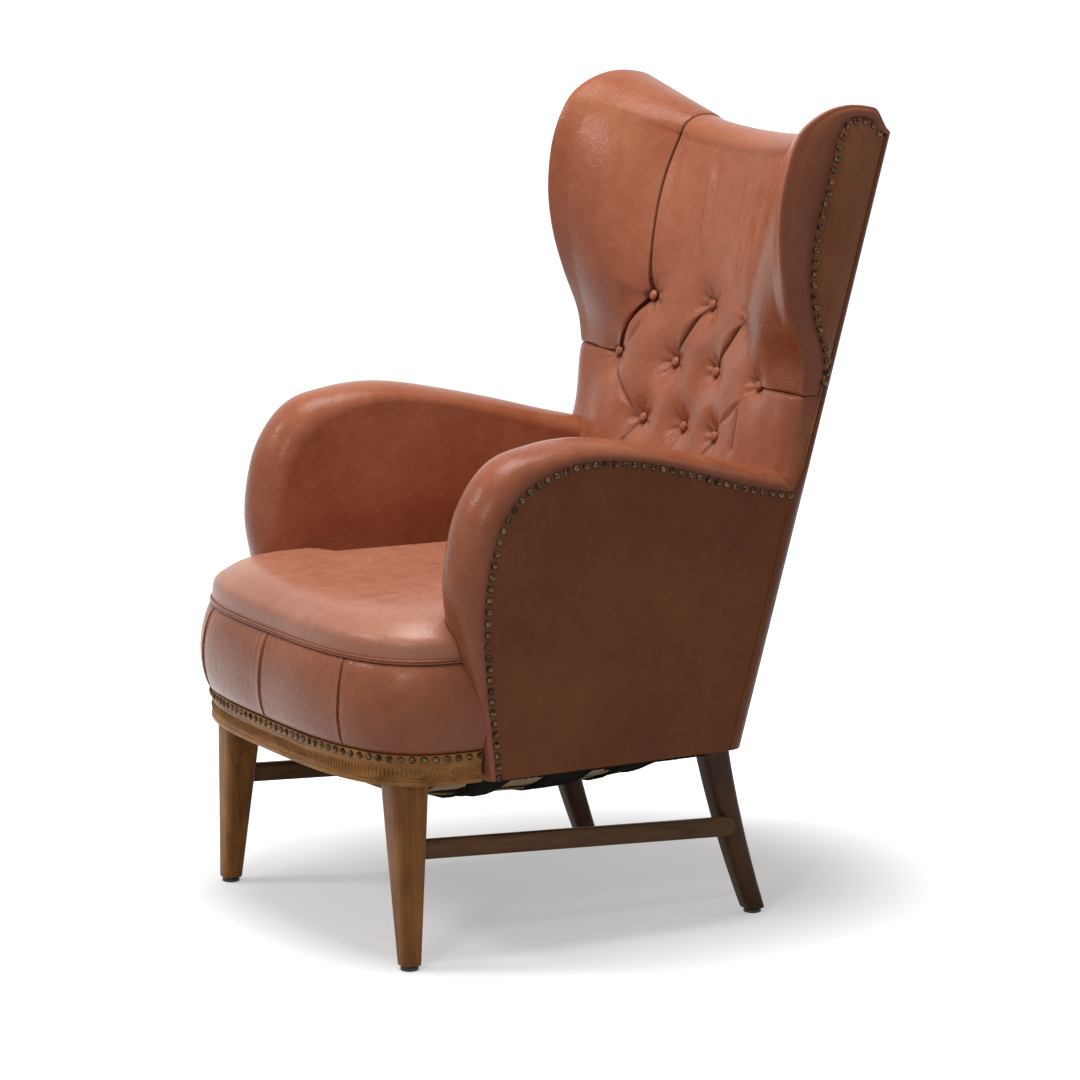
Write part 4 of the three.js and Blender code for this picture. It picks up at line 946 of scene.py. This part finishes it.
def band_rows():
    rows, marks = [], []
    for j in range(37):
        share = j / 36
        row = []
        for turn, run in zip(fine_turns, fine_runs):
            relief, mark = 0.0, 0.0
            for n, middle in enumerate(pleat_runs):
                away = run - middle - 0.004 * math.sin(3 * share + n) * (1 - share)
                body = hump(held(share * 0.92 + 0.06)) ** 0.5
                if away > 0:
                    relief += 0.0012 * math.exp(-away / 0.012) * body
                else:
                    relief -= 0.0015 * math.exp(away / 0.006) * body
                # Painted shade: a dark line in the fold of each pleat.
                mark = max(mark, 0.75 * math.exp(-(((away + 0.0006) / 0.0012) ** 2)))
                gather = math.exp(-(away / 0.03) ** 2) * math.exp(-((1 - share) / 0.25))
                relief += 0.0005 * math.sin(away / 0.0023) * gather
            relief += 0.0006 * math.sin(run / 0.023 + 2.2 * share) * hump(share)
            tuck = 0.0035 * (math.exp(-share / 0.03) + math.exp(-(1 - share) / 0.03))
            grow = band_swell(share) + relief - tuck
            row.append(Vector((*bow_at(turn, grow), between(band_foot_z, seam_z - 0.0003, share))))
            # Painted shade: darker along the top of the band under the piping.
            marks.append(min(1.0, 0.9 * mark + 0.8 * math.exp(-(1 - share) / 0.02)))
        rows.append(row)
    return rows, marks


band_face, band_marks = band_rows()
band_lining = [[Vector((*bow_at(turn, -0.020), row[0].z)) for turn in fine_turns] for row in band_face]
band = sew("pleated_band", band_face, band_lining, tan_leather, creases=band_marks)
trim_to_arms(band)
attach(band, "root")
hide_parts("seat_band")


def seat_height(share, level, place):
    crown = 0.0577
    rise = (1 - level ** 11) ** 0.6 if level < 1 else 0.0
    sway = 0.0012 * math.sin(19 * place.x + 7 * place.y) * (1 - level ** 4)
    return seam_z + 0.0003 + crown * rise + sway


seat_levels = []
for level in (1, 0.9995, 0.998, 0.995, 0.99, 0.982, 0.972, 0.96, 0.945, 0.925,
              0.9, 0.87, 0.83, 0.78, 0.72, 0.64, 0.54, 0.42, 0.28, 0.14):
    overhang = 0.022 * math.exp(-((level - 0.972) / 0.026) ** 2)
    seat_levels.append((level + overhang, level))
seat = dome_over("crowned_seat", seat_outline(-0.004, 0.0006, 0.1697), seat_hub, seat_levels, seat_height,
                 sheen_painted_seat_leather)
# Painted shade: the front of the seat is darkened at its foot along the piping, under the front roll.
for vertex, mark in zip(seat.data.vertices, seat.data.attributes["crease_shade"].data):
    mark.value = 0.8 * math.exp(-((vertex.co.z - seam_z) / 0.003)) if vertex.co.y < -0.2 else 0.0
pipe_radius = 0.0015


def pipe_along_bow(name, z):
    rings = []
    for turn in bow_turns[3:-3]:
        middle = Vector((*bow_at(turn, -0.0008), z))
        out = bow_outward(turn)
        rings.append([middle + out * pipe_radius * across + Vector((0, 0, pipe_radius * up))
                      for across, up in around(14)])
    return skin_rings(name, rings, tan_leather)


piping = join_pieces("double_piping", [pipe_along_bow("upper_pipe", seam_z + pipe_radius),
                                       pipe_along_bow("lower_pipe", seam_z - pipe_radius)])
trim_to_arms(piping)
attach(piping, "root")
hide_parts("seat_welt")


# Back: one stuffed pad, deeply buttoned, with folds pulled from button to button; above the waist
# it narrows between the ears and rolls over the crest. Leather is nailed to the rear posts.
tuck_z, crest_roll = 0.787, 0.028
roll_z = crest - crest_roll
seam_foot_x, seam_tuck_x, seam_top_x = 0.185, 0.125, 0.139
ear_reach, ear_half_width = 0.156, 0.295
seam_heights = [between(waist, tuck_z, s) for s in (0, 0.33, 0.67)]
seam_heights += [between(tuck_z, roll_z, s) for s in (0, 0.2, 0.4, 0.6, 0.8, 1)]
seam_depths = [ear_reach * s for s in (0.32, 0.33, 0.345, 0.35, 0.365, 0.38, 0.39, 0.375, 0.33)]


def ear_seam_x(z):
    if z <= tuck_z:
        share = held((z - waist) / (tuck_z - waist))
        return between(seam_foot_x, seam_tuck_x, share) + 0.006 * hump(share)
    share = held((z - tuck_z) / (crest - tuck_z))
    return between(seam_tuck_x, seam_top_x, share) + 0.009 * hump(share)


def seam_depth(z):
    return follow(seam_heights, seam_depths, min(max(z, waist), roll_z))


def bulge(z):
    return between(0.012, 0.035, held((z - seat_base) / (crest - seat_base)))


def bowed(x, depth):
    return depth * (1 - (x / rear_half_width) ** 2)


def crest_line(x):
    sag = 0.0125 * max(0.0, 1 - (x / seam_top_x) ** 2) ** 0.6
    return between(crest, ear_top, held((abs(x) - seam_top_x) / (ear_half_width - seam_top_x))) - sag


middle_depth, foot_depth = 0.034, 0.050
side_roll_x, side_roll = 0.258, 0.034


def face_depth(x, z):
    across = abs(x)
    if z > waist:
        share = min(1.0, across / ear_seam_x(z))
        fuller = between(math.sin(math.pi / 2 * share) ** 2, share ** 2, eased((z - waist) / 0.06))
        return between(middle_depth, seam_depth(z), fuller)
    if across <= seam_foot_x:
        return between(middle_depth, foot_depth, math.sin(math.pi / 2 * across / seam_foot_x) ** 2)
    flare = eased((z - 0.61) / 0.09)
    depth = between(foot_depth, 0.037 + 0.011 * flare, (across - seam_foot_x) / 0.107)
    if across > side_roll_x:
        depth = between(0.012 + 0.020 * flare, depth, rounded_off((across - side_roll_x) / side_roll))
    return depth


buttons = {
    "top_left": (0.125, 0.785), "top_middle": (0.0, 0.785), "top_right": (-0.125, 0.785),
    "middle_left": (0.185, 0.702), "middle_inner_left": (0.054, 0.702), "middle_inner_right": (-0.054, 0.702),
    "middle_right": (-0.185, 0.702), "low_left": (0.094, 0.622), "low_middle": (0.0, 0.622),
    "low_right": (-0.094, 0.622),
}
# Folds: start, bend and end on the face, depth, and the strength of the painted shade line along the fold.
folds = (
    ((0.0, 0.785), (-0.036, 0.752), (-0.054, 0.702), 0.010, 1.0),
    ((0.125, 0.785), (0.082, 0.752), (0.054, 0.702), 0.010, 1.0),
    ((-0.185, 0.702), (-0.150, 0.655), (-0.094, 0.622), 0.006, 0.6),
    ((0.185, 0.702), (0.150, 0.668), (0.094, 0.622), 0.005, 0.1),
    ((0.158, 0.676), (0.166, 0.650), (0.169, 0.618), 0.004, 0.6),
    ((-0.094, 0.622), (-0.108, 0.606), (-0.118, 0.590), 0.004, 0.7),
    ((0.094, 0.622), (0.088, 0.606), (0.080, 0.595), 0.004, 0.7),
    ((0.0, 0.622), (-0.006, 0.606), (-0.010, 0.588), 0.003, 0.4),
    ((-0.185, 0.702), (-0.14, 0.71), (-0.125, 0.785), 0.004, 0.1),
)


def away_from_fold(x, z, start, middle, end):
    least = np.full(x.shape, 9.0)
    start, middle, end = np.array((start, middle, end))
    previous = start
    for k in range(1, 9):
        t = k / 8
        here = (1 - t) ** 2 * start + 2 * t * (1 - t) * middle + t * t * end
        run = here - previous
        right, up = x - previous[0], z - previous[1]
        share = np.clip((right * run[0] + up * run[1]) / run.dot(run), 0, 1)
        least = np.minimum(least, np.hypot(right - share * run[0], up - share * run[1]))
        previous = here
    return least


fold_fade = 0.0055
tie_depth, tie_width = 0.017, 0.024


def tuft_pull(x, z):
    pull = np.zeros(x.shape)
    mark = np.zeros(x.shape)
    for start, middle, end, depth, dark in folds:
        away = away_from_fold(x, z, start, middle, end)
        pull = np.maximum(pull, depth * np.exp(-away / fold_fade))
        # Painted shade: a dark line along each fold.
        mark = np.maximum(mark, dark * np.exp(-(away / (0.0013 + 0.0018 * dark)) ** 2))
    puckers = np.zeros(x.shape)
    for n, (bx, bz) in enumerate(buttons.values()):
        away = np.hypot(x - bx, z - bz)
        turn = np.arctan2(z - bz, x - bx)
        pull = np.maximum(pull, tie_depth * np.exp(-(away / tie_width) ** 1.35))
        ring = np.exp(-((away - 0.015) / 0.009) ** 2)
        puckers += 0.0011 * np.cos(7 * turn + 1.7 * n) * ring
        # Painted shade: the button wells are darkened round each button.
        mark = np.maximum(mark, 0.9 * np.exp(-(np.maximum(away - 0.0075, 0) / 0.0022) ** 2))
    return pull, puckers, mark


def ramp(along):
    return np.clip(along / 0.05, 0, 1)


def drape(x, z):
    ridge_x = -0.042 - 0.15 * (z - 0.871)
    ridge = 0.0028 * np.exp(-((x - ridge_x) / 0.008) ** 2) * ramp(z - 0.83)
    streaks = 0.0004 * np.sin(x * 130 + 9 * np.sin(8 * z)) + 0.0002 * np.sin(x * 290 + 17 * z)
    low = 0.0007 * np.sin(x * 120 + 20 * z) * ramp(0.72 - z) * ramp(z - 0.52)
    return (ridge + streaks) * (ramp(z - 0.80) * ramp(1.005 - z)) + low


half_columns = [seam_foot_x * k / 90 for k in range(91)]
half_columns += [between(seam_foot_x, side_roll_x, k / 18) for k in range(1, 19)]
half_columns += [side_roll_x + side_roll * math.sin(math.pi / 2 * k / 14) for k in range(1, 15)]
back_columns = [-x for x in half_columns[:0:-1]] + half_columns
lining_columns = [-0.2918, -0.276, -0.243, -0.16, -0.08, 0.0, 0.08, 0.16, 0.243, 0.276, 0.2918]


def lining_depth(x, z):
    if abs(x) > 0.28:
        return 0.0122
    depth = 0.0252 - bowed(x, bulge(z))
    return max(depth, 0.0202) if abs(x) >= 0.2305 else depth


def roll_over_crest(x, turn, inset):
    base = crest_line(x) - crest_roll
    front = rear_line(base) - face_depth(x, base) + inset
    rear = rear_line(base) + bowed(x, bulge(base)) - inset
    return Vector((x, between(front, rear, (1 - math.cos(math.pi * turn)) / 2),
                   base + (crest_roll - inset) * hump(turn)))


def under_crest(x, z, climb):
    return z - (crest - crest_line(min(abs(x), seam_top_x))) * climb ** 2


def pad_rows(heights):
    xs = np.array([[x * narrow for x in back_columns] for _, narrow in heights])
    zs = np.array([[z] * len(back_columns) for z, _ in heights])
    pull, puckers, mark = tuft_pull(xs, zs)
    ripple = drape(xs, zs)
    front, back, marks = [], [], []
    for j, (z, narrow) in enumerate(heights):
        climb = held((z - tuck_z) / (roll_z - tuck_z))
        row = []
        for i, x in enumerate(xs[j]):
            height = under_crest(x, z, climb)
            seam, deep, soft, dark = 9.0, 0.0, 1.0, 0.0
            if z > waist:
                seam = narrow * rear_half_width - abs(x)
                deep, soft, dark = (0.0045, 0.0026, 0.95) if z < tuck_z else (0.0024, 0.0018, 0.7)
            elif abs(x) > seam_foot_x:
                seam, deep, soft, dark = waist - z, 0.0016, 0.0018, 0.5
            gather = (pull[j][i] + puckers[j][i]) * (1 - climb ** 4) - ripple[j][i]
            y = rear_line(height) - face_depth(x, height) + gather + deep * math.exp(-seam / soft)
            row.append(Vector((x, y, height)))
            # Painted shade: the folds and button wells, and dark lines along the seams with the ears and
            # along the waist seam.
            marks.append(max(float(mark[j][i]), dark * math.exp(-(seam / 0.0013) ** 2)))
        front.append(row)
        lining = []
        for column in lining_columns:
            x = column * narrow * (1 if z <= waist else 0.945)
            height = under_crest(x, z, climb)
            lining.append(Vector((x, rear_line(height) - lining_depth(x, height), height)))
        back.append(lining)
    return front, back, marks


def low_back():
    front, back, marks = pad_rows([(between(0.350, waist, k / 134), 1.0) for k in range(135)])
    return sew("low_back", front, back, tan_leather, sharp=70, creases=marks)


seam_gap = 0.0003


def high_back():
    heights = []
    for k in range(126):
        z = between(waist + 0.00004, roll_z, k / 125)
        heights.append((z, (ear_seam_x(z) - seam_gap) / rear_half_width))
    front, back, marks = pad_rows(heights)
    narrow = 0.1387 / rear_half_width
    for k in range(1, 19):
        row = []
        for x in back_columns:
            edge = 0.1387 - abs(x * narrow)
            row.append(roll_over_crest(x * narrow, k / 18, 0.0022 * math.exp(-edge / 0.0018)))
            # Painted shade: darker along the edge of the crest roll at the seams with the ears.
            marks.append(0.7 * math.exp(-(edge / 0.0013) ** 2))
        front.append(row)
        back.append([roll_over_crest(0.945 * x * narrow, k / 18, 0.014) for x in lining_columns])
    return sew("high_back", front, back, tan_leather, sharp=70, creases=marks)


back_pad = join_pieces("buttoned_back", [low_back(), high_back()])
trim_to_arms(back_pad, 70)
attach(back_pad, "root")
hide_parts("back_pad")

for vertex in seat.data.vertices:
    place = vertex.co
    place.y = min(place.y, rear_line(place.z) - face_depth(place.x, place.z) - 0.0012)
trim_to_arms(seat)
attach(seat, "root")
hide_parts("seat_cushion")


# Buttons: ten domes covered in the same leather, tied through the pad so that they sit deep in it.
button_profile = ((0.0066, 0.0002), (0.0074, 0.0012), (0.0075, 0.0022), (0.0071, 0.0036), (0.0060, 0.0049),
                  (0.0044, 0.0058), (0.0024, 0.0063))


def shape_button(name, x, z):
    lean = math.atan(rake)
    back_y = rear_line(z) - face_depth(x, z) + 0.015
    rings = []
    for radius, height in button_profile:
        ring = []
        for right, rise in around(28):
            across, up = radius * right, radius * rise
            forward = height + 0.0006
            ring.append(Vector((x + across, back_y + up * math.sin(lean) - forward * math.cos(lean),
                                z + up * math.cos(lean) + forward * math.sin(lean))))
        rings.append(ring)
    return skin_rings(name, rings, tan_leather)


for name, (x, z) in buttons.items():
    button = shape_button(f"covered_button_{name}", x, z)
    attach(button, "root")
    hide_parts(f"button_{name}")


# Ears: thick pads sewn to the back along a curved seam, bent round the rim and nailed outside.
def ear_point(up, forward, wide):
    z = waist + up * (ear_top - waist)
    return Vector((wide * ear_half_width, rear_line(z) - forward * ear_reach, z))


ear_rim = bent_batten([ear_point(*share) for share in (
    (0, 0.245, 0.985), (0.115, 0.345, 1.0), (0.265, 0.575, 1.015), (0.395, 0.752, 1.027),
    (0.526, 0.888, 1.034), (0.632, 0.96, 1.034), (0.75, 1, 1.034), (0.842, 0.99, 1.027), (0.92, 0.93, 1.017),
    (0.978, 0.75, 1.007), (1, 0.51, 1), (0.984, 0.22, 1), (0.945, -0.03, 0.998))])
ear_nail_line = bent_batten([ear_point(*share) for share in (
    (0, 0.012 / ear_reach, 0.99), (0.12, 0.13, 1.01), (0.26, 0.33, 1.02), (0.37, 0.455, 1.03),
    (0.48, 0.525, 1.034), (0.58, 0.558, 1.036), (0.7, 0.558, 1.036), (0.8, 0.55, 1.03), (0.88, 0.55, 1.025),
    (0.94, 0.5, 1.02), (0.955, 0.38, 1.015), (0.94, 0.23, 1.01), (0.895, 0.09, 1))])


def ear_seam(row):
    if row <= 8:
        z = max(waist + 0.0012, follow(list(range(9)), seam_heights, row))
        x = ear_seam_x(z)
        return Vector((x + seam_gap, rear_line(z) - seam_depth(z), z))
    place = roll_over_crest(seam_top_x, (row - 8) / 4, 0)
    place.x += seam_gap
    return place


def ear_frame(v):
    row = 12 * v
    seam, rim, nail = ear_seam(row), ear_rim(v), ear_nail_line(v)
    low = eased(1 - row)
    rim.z = between(rim.z, max(seam.z, rim.z), low)
    nail.z = between(nail.z, max(seam.z, nail.z), low)
    ruling = rim - seam
    flat = Vector((max(0.0, -ruling.y) * (1 - eased(row - 8)), ruling.x, 0)).normalized()
    turn = math.pi * held((row - 8) / 4)
    inward = flat * math.cos(turn) + Vector((0, 0, -1)) * math.sin(turn)
    return seam, rim, nail, inward, seam + ruling * 0.8


panel_edge_x = 0.2924


def behind_corner(x, z, depth):
    x = min(x, panel_edge_x)
    radius = 0.010
    shift = radius - corner_wrap(z)
    turned = radius - math.sqrt(radius ** 2 - max(0.0, x - 0.2825) ** 2)
    return rear_line(z) + shift + bowed(x, bulge(z) - shift) - turned - depth


def panel_top(x, gap=0.0286):
    return crest_line(x) - gap - 0.012 * eased((x - 0.268) / 0.027)


def tucked_end(place, v, depth):
    share = eased((12 * v - 10.9) / 1.1)
    x = min(place.x, panel_edge_x)
    outer = eased((place.x - 0.286) / 0.007)
    z = min(place.z, between(panel_top(x, 0.0326), ear_nail_line(1.0).z, outer))
    before = min(place.y - rear_line(place.z), -0.0045)
    y = between(behind_corner(place.x, z, depth), rear_line(z) + before, outer)
    return place.lerp(Vector((place.x, y, z)), share)


ear_buttons = (buttons["top_left"], buttons["middle_left"])
inner_part = 0.6


def foot_fade(place):
    return math.exp(-max(0.0, place.z - waist - 0.0012) / 0.0018)


def ear_shape(u, v, padded):
    seam, rim, nail, inward, shoulder = ear_frame(v)
    row = 12 * v
    lining_gap = between(0.014, 0.022, held(row / 3))
    if u <= inner_part:
        share = u / inner_part
        place = seam.lerp(shoulder, share)
        if not padded:
            return place + inward * lining_gap
        puff = 0.0095 * hump(share) * hump(held(row / 9))
        edge = (place - seam).length
        pull = 0.0045 * math.exp(-edge / 0.0028) if row < 3 else 0.0024 * math.exp(-edge / 0.0018)
        pull = max(pull, 0.0014 * foot_fade(place))
        for bx, bz in ear_buttons:
            pull = max(pull, 0.0115 * math.exp(-(math.hypot(place.x - bx, place.z - bz) / 0.021) ** 1.35))
        return place + inward * (pull - puff)
    share = (u - inner_part) / 0.4
    if not padded:
        return (shoulder + inward * lining_gap).lerp(nail - Vector((0.014, 0, 0)), share)
    reach, lead = shoulder.lerp(rim, 1.5), nail.lerp(rim, 1.2)
    lead.x = nail.x
    rest = 1 - share
    place = (shoulder * rest ** 3 + reach * 3 * share * rest ** 2 + lead * 3 * share ** 2 * rest
             + nail * share ** 3)
    lip = 0.0022 * hump(held((share - 0.7) / 0.3)) if share > 0.7 else 0.0
    return place + inward * (0.0014 * foot_fade(place) * (1 - share)) + Vector((lip, 0, 0))


ear_us = [inner_part * k / 44 for k in range(44)] + [inner_part + 0.4 * k / 36 for k in range(37)]
ear_us = sorted(ear_us + [0.002, 0.006, 0.010, 0.018, 0.024])
ear_vs = sorted([k / 150 for k in range(151)] + [0.0015, 0.003, 0.0048, 0.0085, 0.011])


# Painted shade on the ears: dark along the seam with the back, in the button wells, along the foot at the
# waist and along the roll's edge at the nail line.
def ear_mark(u, v):
    if u <= inner_part:
        seam, _, _, _, shoulder = ear_frame(v)
        edge = (shoulder - seam).length * u / inner_part
        place = seam.lerp(shoulder, u / inner_part)
        dark = (0.95 if 12 * v < 3 else 0.7) * math.exp(-(edge / 0.0013) ** 2)
        for bx, bz in ear_buttons:
            away = max(0.0, math.hypot(place.x - bx, place.z - bz) - 0.0075)
            dark = max(dark, 0.9 * math.exp(-(away / 0.0022) ** 2))
        return max(dark, 0.5 * math.exp(-(max(0.0, place.z - waist - 0.0012) / 0.0013) ** 2))
    return 0.6 * math.exp(-(((1 - u) / 0.4 * 0.07) / 0.004) ** 2)


ear_face = [[tucked_end(ear_shape(u, v, True), v, 0.0042) for u in ear_us] for v in ear_vs]
ear_lining = [[tucked_end(ear_shape(u, v, False), v, 0.012) for u in ear_us] for v in ear_vs]
ear_marks = [ear_mark(u, v) for v in ear_vs for u in ear_us]
for hand, side in hands:
    ear = sew_side(f"padded_ear_{hand}", side, ear_face, ear_lining, tan_leather, sharp=70, creases=ear_marks)
    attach(ear, "root")
    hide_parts(f"wing_pad_{hand}")


# Outer ear panels: brown leather from the nail line back to the rear corner, each with a narrow
# tail that runs down beside the back to the end of the arm.
def inside_ear_nails(v):
    along = heading(ear_nail_line, min(v, 0.999)) if v > 0.001 else Vector((0, 0, 1))
    return ear_nail_line(v) + Vector((0, along.z, -along.y)) * 0.0006


def ear_panel_rows():
    count, rows_tail, rows_over = 120, 26, 18
    foot, top = arm_rear_z + 0.0006, ear_nail_line(1.0).z
    fronts, rears = [], []
    for k in range(count + 1):
        if k < rows_tail:
            z = between(foot, waist, k / rows_tail)
            fronts.append(Vector((rear_half_width, rear_line(z) - 0.0117, z)))
        else:
            fronts.append(inside_ear_nails(10 / 12 * (k - rows_tail) / (count - rows_tail)))
        if k < count - rows_over:
            z = between(foot, top, k / (count - rows_over))
            rears.append(Vector((rear_half_width, rear_line(z) - corner_wrap(z) - 0.0008, z)))
        else:
            rears.append(inside_ear_nails(between(1.0, 10 / 12, (k - count + rows_over) / rows_over)))
    return fronts, rears


def ear_panel_skin(depth):
    rows = []
    pairs = list(zip(*ear_panel_rows()))
    for j, (front, rear) in enumerate(pairs):
        puff = 0.003 * hump(held(j / len(pairs)))
        row = []
        for k in range(25):
            place = front.lerp(rear, k / 24)
            place.x += puff * math.sin(math.pi * k / 24) - depth
            row.append(place)
        rows.append(row)
    return rows


for hand, side in hands:
    panel = sew_side(f"ear_hide_{hand}", side, ear_panel_skin(0), ear_panel_skin(0.0035), lit_ear_leather)
    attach(panel, "root")
    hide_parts(f"wing_panel_{hand}")


# Rear panel: one sheet of brown leather over the bowed back, turned round both rear corners.
def rear_skin(depth):
    rows = []
    for j in range(91):
        v = j / 90
        low_z = between(seat_base, crest - 0.0286, v)
        radius = between(0.028, 0.010, eased((low_z - 0.545) / 0.06))
        shift = radius - corner_wrap(low_z)
        wall = side_x(rear_line(low_z) - corner_wrap(low_z), low_z)
        half = []
        for k in range(31):
            x = (wall - radius) * k / 30
            z = between(seat_base, panel_top(x), v)
            half.append(Vector((x, rear_line(z) + shift + bowed(x, bulge(z) - shift) - depth, z)))
        step = half[-1].y + depth - rear_line(half[-1].z) - shift
        for k in range(1, 13):
            turn = math.pi / 2 * k / 12
            x = wall - radius + (radius - depth) * math.sin(turn)
            z = between(seat_base, panel_top(x), v)
            rear = rear_line(z) + shift - radius + (radius - depth) * math.cos(turn) + step * (1 - k / 12)
            half.append(Vector((x, rear, z)))
        rows.append(mirrored(half[:0:-1], -1) + half)
    return rows


rear_panel = sew("back_hide", rear_skin(0), rear_skin(0.0035), brown_leather)
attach(rear_panel, "root")
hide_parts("rear_panel")


# Nails: dome-headed upholstery nails of antique brass, set by eye in a row along every edge.
antique_brass = surface("antique_brass", tarnish, {
    "Metal": (0.11, 0.074, 0.042, 1), "Dull": (0.018, 0.012, 0.008, 1), "Polish": 0.24}, 0.0001,
    strength=0.4, Metallic=1.0)
nail_size, nail_pitch, nail_margin = (0.0048, 0.0048, 0.0030), 0.0150, 0.0042


def nail_row(name, node, places, outwards, seed):
    row = set_row(name, places, outwards, nail_pitch, nail_size, 0.07, seed, antique_brass)
    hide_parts(node)


places, outwards = bow_row(0.0004, 0.2774)
nail_row("apron_nail_row", "apron_nails", places, outwards, 11)


def arm_nail_at(share):
    nail, out, _ = arm_station(between(0.004, 1.0, share))
    place = nail - out * nail_margin
    place.x = side_x(place.y, place.z) + 0.0008
    return place


def ear_nail_at(share):
    v = between(0.03, 0.985, share)
    along = heading(ear_nail_line, v)
    return ear_nail_line(v) + Vector((0.0012, along.z * nail_margin, -along.y * nail_margin))


for hand, side in hands:
    places = mirrored([arm_nail_at(k / 300) for k in range(301)], side)
    outwards = [Vector((side, 0, 0)) for _ in places]
    nail_row(f"arm_nail_row_{hand}", f"arm_nails_{hand}", places, outwards, 21 + side)
    places = mirrored([ear_nail_at(k / 200) for k in range(201)], side)
    outwards = [Vector((side, 0, 0)) for _ in places]
    nail_row(f"ear_nail_row_{hand}", f"wing_nails_{hand}", places, outwards, 31 + side)
